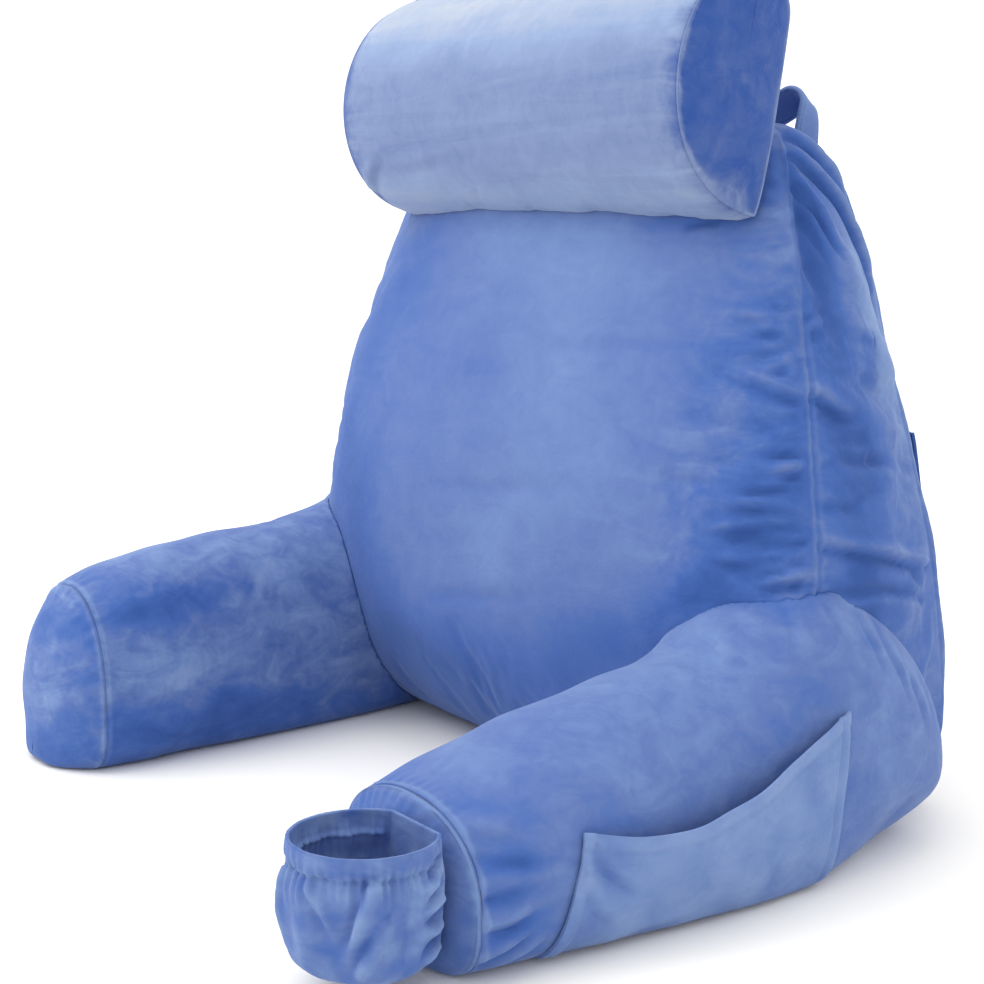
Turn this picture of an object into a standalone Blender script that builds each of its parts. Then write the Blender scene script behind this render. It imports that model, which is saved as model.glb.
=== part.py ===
"""Reading pillow with arms: a filled backrest, two filled arms with round end panels, a half-moon neck roll,
a carrying strap, a tablet pocket, a cup pouch and a back pocket.

Frame: origin on the floor under the middle of the backrest, +X towards the arm that carries the cup pouch,
-Y the way the pillow faces, +Z up. Metres.
"""
import math
from collections import namedtuple

import bmesh
import bpy
from mathutils import Vector
from mathutils.bvhtree import BVHTree

# Driving sizes.
TOUCH = 0.0003            # daylight between two pieces that touch
CLOTH = 0.0022            # thickness of the plush cloth
SEAT_SKIN = 0.0004        # how far a filled piece's clearance stands off its surface

# Backrest: one row for each height. half and seam place the seam between front panel and gusset, crown is
# how far the front panel swells past it; back_half, back and back_crown do the same at the back. left is
# how much further the left side is stuffed out, and gather is the depth of the folds down the gusset.
BackRow = namedtuple("BackRow", "z half left seam crown back_half back back_crown gather")
BACK_ROWS = (
    BackRow(0.000, 0.232, 0.000, -0.046, 0.016, 0.190, 0.056, 0.012, 0.000),
    BackRow(0.007, 0.256, 0.000, -0.060, 0.022, 0.222, 0.072, 0.016, 0.000),
    BackRow(0.024, 0.276, 0.000, -0.074, 0.033, 0.242, 0.082, 0.021, 0.000),
    BackRow(0.055, 0.290, 0.000, -0.083, 0.048, 0.257, 0.086, 0.025, 0.000),
    BackRow(0.100, 0.297, 0.000, -0.086, 0.063, 0.265, 0.081, 0.030, 0.000),
    BackRow(0.150, 0.298, 0.000, -0.085, 0.073, 0.267, 0.071, 0.035, 0.000),
    BackRow(0.200, 0.296, 0.002, -0.081, 0.076, 0.267, 0.061, 0.037, 0.000),
    BackRow(0.250, 0.285, 0.009, -0.075, 0.076, 0.256, 0.054, 0.037, 0.000),
    BackRow(0.300, 0.270, 0.018, -0.066, 0.073, 0.241, 0.051, 0.034, 0.001),
    BackRow(0.350, 0.252, 0.025, -0.057, 0.065, 0.223, 0.049, 0.030, 0.003),
    BackRow(0.400, 0.234, 0.027, -0.047, 0.054, 0.204, 0.046, 0.024, 0.005),
    BackRow(0.440, 0.217, 0.025, -0.039, 0.043, 0.190, 0.040, 0.017, 0.005),
    BackRow(0.465, 0.204, 0.018, -0.032, 0.035, 0.178, 0.034, 0.011, 0.004),
    BackRow(0.479, 0.190, 0.010, -0.024, 0.028, 0.166, 0.027, 0.007, 0.002),
    BackRow(0.486, 0.171, 0.005, -0.014, 0.020, 0.150, 0.020, 0.004, 0.001),
    BackRow(0.4895, 0.142, 0.000, -0.005, 0.011, 0.126, 0.012, 0.002, 0.000),
)
BACK_TOP = 0.4905
BACK_STEPS = 26           # sections from the bottom to the top
FRONT_POINTS = 16
GUSSET_POINTS = 8
BACK_POINTS = 12
PANEL_POWER = 2.9         # how square a crowned panel is across its width
PANEL_PUFF = 0.64         # how steeply it leaves its seam
GUSSET_BULGE = 0.006
GATHER_WAVE = (0.0, 0.5, -0.9, 1.0, -1.0, 0.9, -0.7, 0.4, 0.0)

# Arms: one row for each station from the end panel's seam to the rounded rear, right arm first. inner and
# outer are the widest places, top and low the heights, tuck the share by which the outer side is drawn in
# below, and base how square the underside is: 2 is round.
ArmRow = namedtuple("ArmRow", "y inner outer top low tuck base")
ARM_REAR = (
    ArmRow(-0.1200, 0.182, 0.331, 0.178, 0.000, 0.00, 6.0),
    ArmRow(-0.0850, 0.184, 0.330, 0.196, 0.000, 0.04, 5.0),
    ArmRow(-0.0480, 0.188, 0.327, 0.189, 0.000, 0.28, 4.0),
    ArmRow(-0.0150, 0.192, 0.321, 0.169, 0.000, 0.54, 3.4),
    ArmRow(0.0120, 0.200, 0.313, 0.144, 0.001, 0.72, 3.2),
    ArmRow(0.0300, 0.210, 0.305, 0.118, 0.006, 0.78, 3.0),
    ArmRow(0.0410, 0.222, 0.296, 0.092, 0.016, 0.76, 2.8),
    ArmRow(0.0440, 0.240, 0.284, 0.068, 0.034, 0.60, 2.6),
)
RIGHT_ARM_ROWS = (
    ArmRow(-0.3680, 0.184, 0.330, 0.096, 0.000, 0.00, 3.2),
    ArmRow(-0.3450, 0.180, 0.333, 0.102, 0.000, 0.00, 3.4),
    ArmRow(-0.3100, 0.178, 0.333, 0.114, 0.000, 0.00, 3.7),
    ArmRow(-0.2600, 0.178, 0.332, 0.128, 0.000, 0.00, 4.4),
    ArmRow(-0.2100, 0.180, 0.331, 0.138, 0.000, 0.00, 5.4),
    ArmRow(-0.1600, 0.182, 0.331, 0.150, 0.000, 0.00, 6.2),
) + ARM_REAR
LEFT_ARM_ROWS = (
    ArmRow(-0.3800, 0.158, 0.288, 0.137, 0.000, 0.00, 4.0),
    ArmRow(-0.3450, 0.156, 0.297, 0.150, 0.000, 0.00, 4.2),
    ArmRow(-0.3100, 0.156, 0.305, 0.156, 0.000, 0.00, 3.7),
    ArmRow(-0.2600, 0.161, 0.314, 0.160, 0.000, 0.00, 4.2),
    ArmRow(-0.2100, 0.169, 0.321, 0.162, 0.000, 0.00, 5.0),
    ArmRow(-0.1600, 0.177, 0.327, 0.167, 0.000, 0.00, 5.8),
) + ARM_REAR
ARM_STEPS = 22
ARM_POINTS = 28
ARM_WAIST = 0.46          # height of the widest point, as a share of the arm's own height
ARM_TOP_POWER = 2.2
ARM_SINK = 0.003          # how far the round underside would pass the floor, where it lies flat
ARM_TUCK_POWER = 1.4      # how low on the rear outer side the tuck begins
CAP_RINGS = (1.0, 0.96, 0.87, 0.73, 0.53, 0.28)
CAP_POWER = 2.9
CAP_CLOTH = 0.0030        # measured along the arm, so that the sloping rim is about one cloth thick
CAP_TOUCH = 0.0006        # the same for the daylight behind it

# End panels: crown is how far one swells past its seam, heart the height of its crown as a share of the
# arm's, and sag how full it hangs below that, where 1 would round it off as above. Nothing of it comes
# further forward than flat, where the pouch presses the right one.
CapShape = namedtuple("CapShape", "crown heart sag flat")
RIGHT_CAP = CapShape(crown=0.014, heart=0.30, sag=0.34, flat=-0.3800)
LEFT_CAP = CapShape(crown=0.031, heart=0.20, sag=0.15, flat=-1.0)

# Neck roll.
ROLL_HALF_LENGTH = 0.211
ROLL_FOOT = Vector((0.0, -0.066, 0.420))   # lower rear edge of its section
ROLL_HEIGHT = 0.180
ROLL_DEPTH = 0.086
ROLL_LEAN = math.radians(10.0)
ROLL_REAR_BULGE = 0.006
ROLL_SHOULDER = 0.78      # share of the height where the rear starts to round forward
ROLL_SHOULDER_DROP = 0.030
ROLL_FRONT_POINTS = 18
ROLL_REAR_POINTS = 8
RollRow = namedtuple("RollRow", "x scale")
ROLL_ROWS = (
    RollRow(-ROLL_HALF_LENGTH, 0.960),
    RollRow(-0.196, 0.990),
    RollRow(-0.150, 1.004),
    RollRow(-0.050, 1.000),
    RollRow(0.050, 1.004),
    RollRow(0.150, 1.002),
    RollRow(0.196, 0.988),
    RollRow(ROLL_HALF_LENGTH, 0.958),
)
ROLL_END_CROWN = 0.009
ROLL_END_RINGS = (1.0, 0.93, 0.78, 0.56, 0.30)

# Carrying strap, its centre line seen from the front, right half. turn is how many degrees its rear edge
# drops: it stands up flat from its foot and lies over on its edge where it crosses behind the neck roll.
HANDLE_WIDTH = 0.024
HANDLE_THICK = 0.0045
HANDLE_Y = 0.035
HandlePoint = namedtuple("HandlePoint", "x z turn")
HANDLE_LINE = (
    HandlePoint(0.1515, 0.4620, 0),
    HandlePoint(0.1530, 0.4760, 2),
    HandlePoint(0.1545, 0.4890, 8),
    HandlePoint(0.1548, 0.4985, 20),
    HandlePoint(0.1525, 0.5045, 36),
    HandlePoint(0.1445, 0.5065, 42),
    HandlePoint(0.1330, 0.5020, 56),
    HandlePoint(0.1190, 0.4975, 68),
    HandlePoint(0.0980, 0.4960, 70),
    HandlePoint(0.0500, 0.4955, 70),
    HandlePoint(0.0000, 0.4955, 70),
)

# Tablet pocket on the right arm: mouth height at each station, and how far the mouth stands off the arm.
PocketRow = namedtuple("PocketRow", "y mouth gape")
POCKET_ROWS = (
    PocketRow(-0.296, 0.079, 0.000),
    PocketRow(-0.262, 0.0725, 0.007),
    PocketRow(-0.230, 0.0725, 0.013),
    PocketRow(-0.196, 0.079, 0.015),
    PocketRow(-0.160, 0.0895, 0.013),
    PocketRow(-0.125, 0.1045, 0.008),
    PocketRow(-0.086, 0.117, 0.000),
)
POCKET_FLARE = 0.022      # how far its front edge slants forward from the mouth to the floor
POCKET_REAR_SLANT = 0.010 # the same for its rear edge
POCKET_FLOOR = 0.0030     # height of its lower edge
POCKET_OFF = 0.0012       # how far its sewn edges stand off the arm
POCKET_STEPS = (22, 11)
POCKET_LOW_SPACING = 1.5  # lines closer together towards the floor, where the arm curves under
POCKET_SLACK = 0.75       # under 1, so that there is room right down to the lower edge

# Cup pouch.
POUCH_X = 0.288
POUCH_Y = -0.4150
POUCH_POINTS = 56
POUCH_BACK = RIGHT_CAP.flat - TOUCH
PouchRow = namedtuple("PouchRow", "z radius fold gather")
POUCH_ROWS = (
    PouchRow(0.0130, 0.018, 0.0000, 0.0000),
    PouchRow(0.0135, 0.028, 0.0008, 0.0000),
    PouchRow(0.0170, 0.0360, 0.0018, 0.0000),
    PouchRow(0.0240, 0.0405, 0.0026, 0.0000),
    PouchRow(0.0360, 0.0422, 0.0032, 0.0000),
    PouchRow(0.0510, 0.0434, 0.0034, 0.0002),
    PouchRow(0.0660, 0.0440, 0.0028, 0.0006),
    PouchRow(0.0765, 0.0420, 0.0008, 0.0012),
    PouchRow(0.0830, 0.0428, 0.0004, 0.0012),
    PouchRow(0.0895, 0.0422, 0.0002, 0.0012),
)
POUCH_GATHERS = 14
POUCH_FOLDS = ((3, 0.55, 0.4), (5, 0.60, 2.1), (8, 0.35, 4.0))   # count, share, turn

# Back pocket.
BACK_POCKET_HALF = 0.222
BACK_POCKET_LOW = 0.118
BACK_POCKET_HIGH = 0.272
BACK_POCKET_GAPE = 0.012
BACK_POCKET_OFF = 0.0009
BACK_POCKET_STEPS = (20, 8)


def clear_scene():
    for old in list(bpy.data.objects):
        bpy.data.objects.remove(old, do_unlink=True)


def new_collection(name):
    group = bpy.data.collections.new(name)
    bpy.context.scene.collection.children.link(group)
    return group


def plush(name, colour, roughness=0.95):
    mat = bpy.data.materials.new(name)
    mat.use_nodes = True
    shader = mat.node_tree.nodes["Principled BSDF"]
    shader.inputs["Base Color"].default_value = (*colour, 1.0)
    shader.inputs["Roughness"].default_value = roughness
    shader.inputs["Metallic"].default_value = 0.0
    return mat


def row_at(rows, place):
    """The row of a table at any place, on a smooth curve through the rows. The first column is the place."""
    place = min(max(place, rows[0][0]), rows[-1][0])
    index = max(i for i in range(len(rows) - 1) if rows[i][0] <= place)
    before, after = rows[index], rows[index + 1]
    earlier = rows[max(index - 1, 0)]
    later = rows[min(index + 2, len(rows) - 1)]
    span = after[0] - before[0]
    t = (place - before[0]) / span
    values = [place]
    for p0, p1, p2, p3, x0, x3 in (
            (earlier[c], before[c], after[c], later[c], earlier[0], later[0]) for c in range(1, len(before))):
        m1 = (p2 - p0) / (after[0] - x0)
        m2 = (p3 - p1) / (x3 - before[0])
        values.append((2 * t**3 - 3 * t**2 + 1) * p1 + (t**3 - 2 * t**2 + t) * span * m1
                      + (-2 * t**3 + 3 * t**2) * p2 + (t**3 - t**2) * span * m2)
    return type(before)(*values)


def stations(rows, steps):
    """Places for sections: every row's own, and the widest gaps between them halved until there are enough."""
    places = [row[0] for row in rows]
    while len(places) < steps:
        gap, index = max((places[i + 1] - places[i], i) for i in range(len(places) - 1))
        places.insert(index + 1, places[index] + gap / 2)
    return places


def bulge(u):
    """Height of a stuffed panel across its width, u from -1 to 1: round at its seams, flatter in the middle."""
    return max(0.0, 1.0 - abs(u) ** PANEL_POWER) ** PANEL_PUFF


def edge_spaced(count):
    """Places from -1 to 1, closer together near the ends."""
    return [math.sin(math.pi * (i / count - 0.5)) for i in range(count + 1)]


def add_object(name, mesh, mat, group):
    obj = bpy.data.objects.new(name, mesh)
    mesh.materials.append(mat)
    group.objects.link(obj)
    return obj


def loft(name, rings, mat, group, start_tip=None, end_tip=None):
    """A skin over rings of points. Each end is closed by a fan to its tip, or by one flat face."""
    bm = bmesh.new()
    loops = [[bm.verts.new(point) for point in ring] for ring in rings]
    count = len(rings[0])
    for low, high in zip(loops, loops[1:]):
        for i in range(count):
            j = (i + 1) % count
            bm.faces.new((low[i], low[j], high[j], high[i]))
    for loop, tip in ((loops[0], start_tip), (loops[-1], end_tip)):
        if tip is None:
            bm.faces.new(loop)
            continue
        peak = bm.verts.new(tip)
        for i in range(count):
            bm.faces.new((loop[i], loop[(i + 1) % count], peak))
    bmesh.ops.recalc_face_normals(bm, faces=bm.faces)
    if bm.calc_volume(signed=True) < 0.0:
        bmesh.ops.reverse_faces(bm, faces=bm.faces)
    mesh = bpy.data.meshes.new(name)
    bm.to_mesh(mesh)
    bm.free()
    mesh.shade_smooth()
    mesh.set_sharp_from_angle(angle=math.radians(50.0))
    return add_object(name, mesh, mat, group)


def grid_panel(name, points, thickness, mat, group, outward):
    """An open sheet over a grid of points, thickened away from the surface that it lies on."""
    bm = bmesh.new()
    verts = [[bm.verts.new(point) for point in line] for line in points]
    for low, high in zip(verts, verts[1:]):
        for i in range(len(low) - 1):
            bm.faces.new((low[i], low[i + 1], high[i + 1], high[i]))
    bmesh.ops.recalc_face_normals(bm, faces=bm.faces)
    middle = bm.faces[:][len(bm.faces) // 2]
    if middle.normal.dot(outward) < 0.0:
        bmesh.ops.reverse_faces(bm, faces=bm.faces)
    mesh = bpy.data.meshes.new(name)
    bm.to_mesh(mesh)
    bm.free()
    mesh.shade_smooth()
    obj = add_object(name, mesh, mat, group)
    shell = obj.modifiers.new("cloth", "SOLIDIFY")
    shell.thickness = thickness
    shell.offset = 1.0
    shell.use_even_offset = True
    return obj


def clearance_of(obj, name, distance, group):
    """A copy of a filled piece, swollen a little: what a neighbour is cut back to."""
    mesh = obj.data.copy()
    mesh.name = name
    for vertex, normal in zip(mesh.vertices, [v.normal.copy() for v in mesh.vertices]):
        vertex.co += normal * distance
    cutter = bpy.data.objects.new(name, mesh)
    group.objects.link(cutter)
    cutter.hide_render = True
    cutter.display_type = "WIRE"
    return cutter


def seat_on(piece, cutter):
    """Cuts a piece back to a neighbour's clearance, so that the two lie face to face."""
    cut = piece.modifiers.new("seat", "BOOLEAN")
    cut.operation = "DIFFERENCE"
    cut.solver = "EXACT"
    cut.object = cutter


def gather_wave(s):
    """Folds across the gusset, s from 0 at the front seam to 1 at the back one."""
    place = s * (len(GATHER_WAVE) - 1)
    low = min(int(place), len(GATHER_WAVE) - 2)
    return GATHER_WAVE[low] + (GATHER_WAVE[low + 1] - GATHER_WAVE[low]) * (place - low)


def extra(row, side):
    """What the fuller left side adds to a half width."""
    return row.left if side < 0 else 0.0


def gusset(row, side):
    """The points of one gusset between its seams, front to back."""
    front = Vector((side * (row.half + extra(row, side)), row.seam))
    back = Vector((side * (row.back_half + extra(row, side)), row.back))
    along = (back - front).normalized()
    outward = Vector((along.y, -along.x)) * side
    for i in range(1, GUSSET_POINTS):
        s = i / GUSSET_POINTS
        lift = GUSSET_BULGE * math.sin(math.pi * s) + row.gather * gather_wave(s)
        yield front.lerp(back, s) + outward * lift


def backrest_section(row):
    front = [Vector(((row.half + extra(row, u)) * u, row.seam - row.crown * bulge(u)))
             for u in edge_spaced(FRONT_POINTS)]
    rear = [Vector((-(row.back_half + extra(row, -u)) * u, row.back + row.back_crown * bulge(u)))
            for u in edge_spaced(BACK_POINTS)]
    outline = front + list(gusset(row, 1)) + rear + list(gusset(row, -1))[::-1]
    return [Vector((p.x, p.y, row.z)) for p in outline]


def make_backrest(mat, group):
    rows = [row_at(BACK_ROWS, z) for z in stations(BACK_ROWS, BACK_STEPS)]
    top = rows[-1]
    tip = Vector((0.0, (top.seam - top.crown + top.back + top.back_crown) / 2, BACK_TOP))
    return loft("backrest", [backrest_section(row) for row in rows], mat, group, end_tip=tip)


def signed_power(value, power):
    return math.copysign(abs(value) ** power, value)


def arm_sizes(row):
    """Middle, half width and height of the widest point of an arm's section."""
    return (row.inner + row.outer) / 2, (row.outer - row.inner) / 2, row.low + (row.top - row.low) * ARM_WAIST


def arm_section(row, side):
    """A stuffed tube's section, flat on the floor."""
    middle, half, waist = arm_sizes(row)
    ring = []
    for i in range(ARM_POINTS):
        angle = 2 * math.pi * i / ARM_POINTS
        c, s = math.cos(angle), math.sin(angle)
        power = 2 / (ARM_TOP_POWER if s >= 0 else row.base)
        reach = row.top - waist if s >= 0 else waist - row.low + ARM_SINK
        tuck = row.tuck * max(0.0, -s) ** ARM_TUCK_POWER if c > 0 else 0.0
        x = half * signed_power(c, power) * (1 - tuck)
        ring.append(Vector((side * (middle + x), row.y, max(0.0, waist + reach * signed_power(s, power)))))
    return ring


def cap_places(row, side, cap, back):
    """The rings and the tip of the surface of an arm's end panel, standing back from its face by some distance."""
    crown = Vector((side * (row.inner + row.outer) / 2, row.y, row.top * cap.heart))
    seam = [point - crown for point in arm_section(row, side)]
    rings = []
    for share in CAP_RINGS:
        y = max(row.y - cap.crown * (1 - share**CAP_POWER), cap.flat) + back
        rings.append([Vector((crown.x + p.x * share, y, crown.z + p.z * (share if p.z > 0 else share**cap.sag)))
                      for p in seam])
    return rings, Vector((crown.x, max(row.y - cap.crown, cap.flat) + back, crown.z))


def make_arm(name, rows, side, cap, mat, group):
    """One filled arm: its crowned front end, then its sections from the front to the rounded rear."""
    front, tip = cap_places(rows[0], side, cap, CAP_CLOTH + CAP_TOUCH)
    places = stations(rows, ARM_STEPS)[1:]
    rings = front[::-1] + [arm_section(row_at(rows, y), side) for y in places]
    return loft(name, rings, mat, group, start_tip=tip)


def make_cap(name, rows, side, cap, mat, group):
    """The end panel of an arm, one cloth thick: its face, then its back."""
    face, face_tip = cap_places(rows[0], side, cap, 0.0)
    inside, inside_tip = cap_places(rows[0], side, cap, CAP_CLOTH)
    return loft(name, face[::-1] + inside, mat, group, start_tip=face_tip, end_tip=inside_tip)


def roll_section(x, scale):
    """The neck roll's half-moon section: front arc upwards, then its flat rear downwards."""
    up = Vector((0.0, math.sin(ROLL_LEAN), math.cos(ROLL_LEAN)))
    forward = Vector((0.0, -math.cos(ROLL_LEAN), math.sin(ROLL_LEAN)))
    half = ROLL_HEIGHT / 2
    centre = ROLL_FOOT + up * half
    shoulder = half * (2 * ROLL_SHOULDER - 1)

    def rear(u):
        over = max(0.0, (u - shoulder) / (half - shoulder))
        return ROLL_SHOULDER_DROP * over**2 - ROLL_REAR_BULGE * bulge(u / half) * (1 - over)

    arc = []
    for i in range(ROLL_FRONT_POINTS + 1):
        angle = math.pi * (i / ROLL_FRONT_POINTS - 0.5)
        u = half * math.sin(angle)
        arc.append((u, max(ROLL_DEPTH * math.cos(angle) ** 0.9, rear(u))))
    flat = [(half * u, rear(half * u)) for u in edge_spaced(ROLL_REAR_POINTS)[1:-1]]
    return [centre + up * (u * scale) + forward * (f * scale) + Vector((x, 0.0, 0.0)) for u, f in arc + flat[::-1]]


def shrink(ring, share, shift):
    heart = sum(ring, Vector()) / len(ring)
    return [heart + (point - heart) * share + shift for point in ring]


def roll_end_places(side, back):
    """The rings and the tip of the surface of a roll's end, standing back from its face by some distance."""
    row = ROLL_ROWS[-1] if side > 0 else ROLL_ROWS[0]
    ring = roll_section(row.x, row.scale)
    rings = []
    for share in ROLL_END_RINGS:
        out = ROLL_END_CROWN * (1 - share**2) - back
        rings.append(shrink(ring, share, Vector((side * out, 0.0, 0.0))))
    tip = sum(ring, Vector()) / len(ring) + Vector((side * (ROLL_END_CROWN - back), 0.0, 0.0))
    return rings, tip


def make_neck_roll(mat, group):
    depth = CLOTH + TOUCH
    left, left_tip = roll_end_places(-1, depth)
    right, right_tip = roll_end_places(1, depth)
    body = [roll_section(row.x, row.scale) for row in ROLL_ROWS[1:-1]]
    return loft("neck_roll", left[::-1] + body + right, mat, group, start_tip=left_tip, end_tip=right_tip)


def make_roll_end(name, side, mat, group):
    face, face_tip = roll_end_places(side, 0.0)
    inside, inside_tip = roll_end_places(side, CLOTH)
    return loft(name, face[::-1] + inside, mat, group, start_tip=face_tip, end_tip=inside_tip)


def make_handle(mat, group):
    """The strap: a flat, soft-edged section carried along its centre line from one foot to the other."""
    stops = [p._replace(x=-p.x) for p in HANDLE_LINE] + list(HANDLE_LINE[-2::-1])
    line = [Vector((p.x, HANDLE_Y, p.z)) for p in stops]
    half, thick = HANDLE_WIDTH / 2, HANDLE_THICK / 2
    profile = [(-half, 0.0), (-half * 0.82, thick), (0.0, thick), (half * 0.82, thick),
               (half, 0.0), (half * 0.82, -thick), (0.0, -thick), (-half * 0.82, -thick)]
    rings = []
    for i, point in enumerate(line):
        along = (line[min(i + 1, len(line) - 1)] - line[max(i - 1, 0)]).normalized()
        normal, across = Vector((-along.z, 0.0, along.x)), Vector((0.0, 1.0, 0.0))
        c, s = math.cos(math.radians(stops[i].turn)), math.sin(math.radians(stops[i].turn))
        rings.append([point + (across * c - normal * s) * wide + (normal * c + across * s) * out
                      for wide, out in profile])
    return loft("carry_handle", rings, mat, group)


def surface_of(obj):
    """What a patch is laid on: a piece's own skin, for finding where a straight line meets it."""
    mesh = obj.data
    return BVHTree.FromPolygons([v.co for v in mesh.vertices], [tuple(p.vertices) for p in mesh.polygons])


def make_tablet_pocket(arm, mat, group):
    """The panel lies on the arm at its sewn edges and stands off it along the mouth."""
    skin = surface_of(arm)
    across, up = POCKET_STEPS
    front, rear = POCKET_ROWS[0].y, POCKET_ROWS[-1].y
    inwards = Vector((-1.0, 0.0, 0.0))
    points = []
    for j in range(up + 1):
        v = (j / up) ** POCKET_LOW_SPACING
        line = []
        for i in range(across + 1):
            u = i / across
            row = row_at(POCKET_ROWS, front + (rear - front) * u)
            z = POCKET_FLOOR + (row.mouth - POCKET_FLOOR) * v
            y = row.y - (POCKET_FLARE * (1 - u) + POCKET_REAR_SLANT * u) * (1 - v)
            hit = skin.ray_cast(Vector((1.0, y, z)), inwards)[0]
            off = POCKET_OFF + max(0.0, row.gape) * v**POCKET_SLACK
            line.append(hit - inwards * off)
        points.append(line)
    return grid_panel("tablet_pocket", points, CLOTH, mat, group, -inwards)


def pouch_ring(row, inset):
    """One level of the pouch. The back is pressed flat against the arm's end panel."""
    ring = []
    for i in range(POUCH_POINTS):
        angle = 2 * math.pi * i / POUCH_POINTS
        wave = sum(share * math.cos(count * angle + turn) for count, share, turn in POUCH_FOLDS)
        radius = row.radius + row.fold * wave + row.gather * math.cos(POUCH_GATHERS * angle) - inset
        y = min(POUCH_Y + radius * math.sin(angle), POUCH_BACK - inset)
        ring.append(Vector((POUCH_X + radius * math.cos(angle), y, row.z)))
    return ring


def make_cup_pouch(mat, group):
    outside = [pouch_ring(row, 0.0) for row in POUCH_ROWS]
    inside = []
    for row in POUCH_ROWS[::-1]:
        level = max(row.z, POUCH_ROWS[0].z + CLOTH)
        inside.append(pouch_ring(row._replace(z=level), CLOTH))
    base, floor = POUCH_ROWS[0].z, POUCH_ROWS[0].z + CLOTH
    return loft("cup_pouch", outside + inside[:-1], mat, group,
                start_tip=Vector((POUCH_X, POUCH_Y, base)), end_tip=Vector((POUCH_X, POUCH_Y, floor)))


def make_back_pocket(backrest, mat, group):
    """A flat patch on the back panel, a little slack along its mouth."""
    skin = surface_of(backrest)
    across, up = BACK_POCKET_STEPS
    inwards = Vector((0.0, -1.0, 0.0))
    points = []
    for j in range(up + 1):
        v = j / up
        z = BACK_POCKET_LOW + (BACK_POCKET_HIGH - BACK_POCKET_LOW) * v
        line = []
        for i in range(across + 1):
            u = 2 * i / across - 1
            hit = skin.ray_cast(Vector((BACK_POCKET_HALF * u, 1.0, z)), inwards)[0]
            line.append(hit - inwards * (BACK_POCKET_OFF + BACK_POCKET_GAPE * v**1.6 * (1 - u**2)))
        points.append(line)
    return grid_panel("back_pocket", points, CLOTH, mat, group, -inwards)


def main():
    clear_scene()
    pillow = new_collection("reading_pillow")
    cutters = new_collection("cutters")
    cover = plush("plush_cover", (0.115, 0.200, 0.540))
    roll_cover = plush("plush_roll", (0.250, 0.360, 0.660))
    strap = plush("plush_strap", (0.100, 0.180, 0.480))

    backrest = make_backrest(cover, pillow)
    clearance = clearance_of(backrest, "backrest_clearance", SEAT_SKIN, cutters)
    arms = (
        ("right", RIGHT_ARM_ROWS, 1, RIGHT_CAP),
        ("left", LEFT_ARM_ROWS, -1, LEFT_CAP),
    )
    for label, rows, side, cap in arms:
        arm = make_arm("arm_" + label, rows, side, cap, cover, pillow)
        seat_on(arm, clearance)
        if side > 0:
            make_tablet_pocket(arm, cover, pillow)
        make_cap("arm_cap_" + label, rows, side, cap, cover, pillow)
    for piece in (make_neck_roll(roll_cover, pillow),
                  make_roll_end("roll_end_right", 1, roll_cover, pillow),
                  make_roll_end("roll_end_left", -1, roll_cover, pillow),
                  make_handle(strap, pillow)):
        seat_on(piece, clearance)
    make_cup_pouch(cover, pillow)
    make_back_pocket(backrest, cover, pillow)


main()
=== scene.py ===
"""The looks of a reading pillow with arms: plush covers, seams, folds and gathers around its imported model.

Frame: origin on the floor under the middle of the backrest, +X towards the arm with the cup pouch, -Y the way
the pillow faces, +Z up. Metres.
"""
import math
from collections import namedtuple

import bpy
import numpy as np
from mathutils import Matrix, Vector
from mathutils.bvhtree import BVHTree


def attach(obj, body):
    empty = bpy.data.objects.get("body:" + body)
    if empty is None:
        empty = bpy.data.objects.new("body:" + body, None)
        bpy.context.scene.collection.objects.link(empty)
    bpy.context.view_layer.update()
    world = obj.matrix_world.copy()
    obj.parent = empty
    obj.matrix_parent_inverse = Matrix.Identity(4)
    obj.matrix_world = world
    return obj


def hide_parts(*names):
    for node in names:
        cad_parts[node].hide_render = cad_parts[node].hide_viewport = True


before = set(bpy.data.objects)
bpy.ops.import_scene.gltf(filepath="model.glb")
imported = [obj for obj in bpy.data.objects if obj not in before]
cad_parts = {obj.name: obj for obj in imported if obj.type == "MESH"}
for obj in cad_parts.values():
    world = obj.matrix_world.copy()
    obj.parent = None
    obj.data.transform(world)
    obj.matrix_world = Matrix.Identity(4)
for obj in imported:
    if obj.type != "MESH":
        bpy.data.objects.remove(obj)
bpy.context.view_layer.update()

# ---------------------------------------------------------------- sizes of the cut and stuffed pieces
MM = 0.001
CLOTH = 0.0022            # thickness of the plush
TOUCH = 0.0003            # daylight between two pieces that touch
SEAT = 0.0006             # how far a filled piece stops short of the one it is sewn to


def in_metres(kind, lengths, rows):
    """Rows given in millimetres. The columns after the first so many are no lengths and stay as they are."""
    return tuple(kind(*(value / 1000 for value in row[:lengths]), *row[lengths:]) for row in rows)


BackRow = namedtuple("BackRow", "z half left seam crown back_half back back_crown")
BACK_ROWS = in_metres(BackRow, 8, (
    (0, 232, 0, -46, 16, 190, 56, 12), (7, 256, 0, -60, 22, 222, 72, 16),
    (24, 276, 0, -74, 33, 242, 82, 21), (55, 290, 0, -83, 48, 257, 86, 25),
    (100, 297, 0, -86, 63, 265, 81, 30), (150, 298, 0, -85, 73, 267, 71, 35),
    (200, 296, 2, -81, 76, 267, 61, 37), (250, 285, 9, -75, 76, 256, 54, 37),
    (300, 270, 18, -66, 73, 241, 51, 34), (350, 252, 25, -57, 65, 223, 49, 30),
    (400, 234, 27, -47, 54, 204, 46, 24), (440, 217, 25, -39, 43, 190, 40, 17),
    (465, 204, 18, -32, 35, 178, 34, 11), (479, 190, 10, -24, 28, 166, 27, 7),
    (486, 171, 5, -14, 20, 150, 20, 4), (489.5, 142, 0, -5, 11, 126, 12, 2),
))
BACK_TOP = 0.4905
PANEL_POWER = 2.9         # how square a crowned panel is across its width
PANEL_PUFF = 0.64         # how steeply it leaves its seam
GUSSET_BULGE = 0.006
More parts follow.
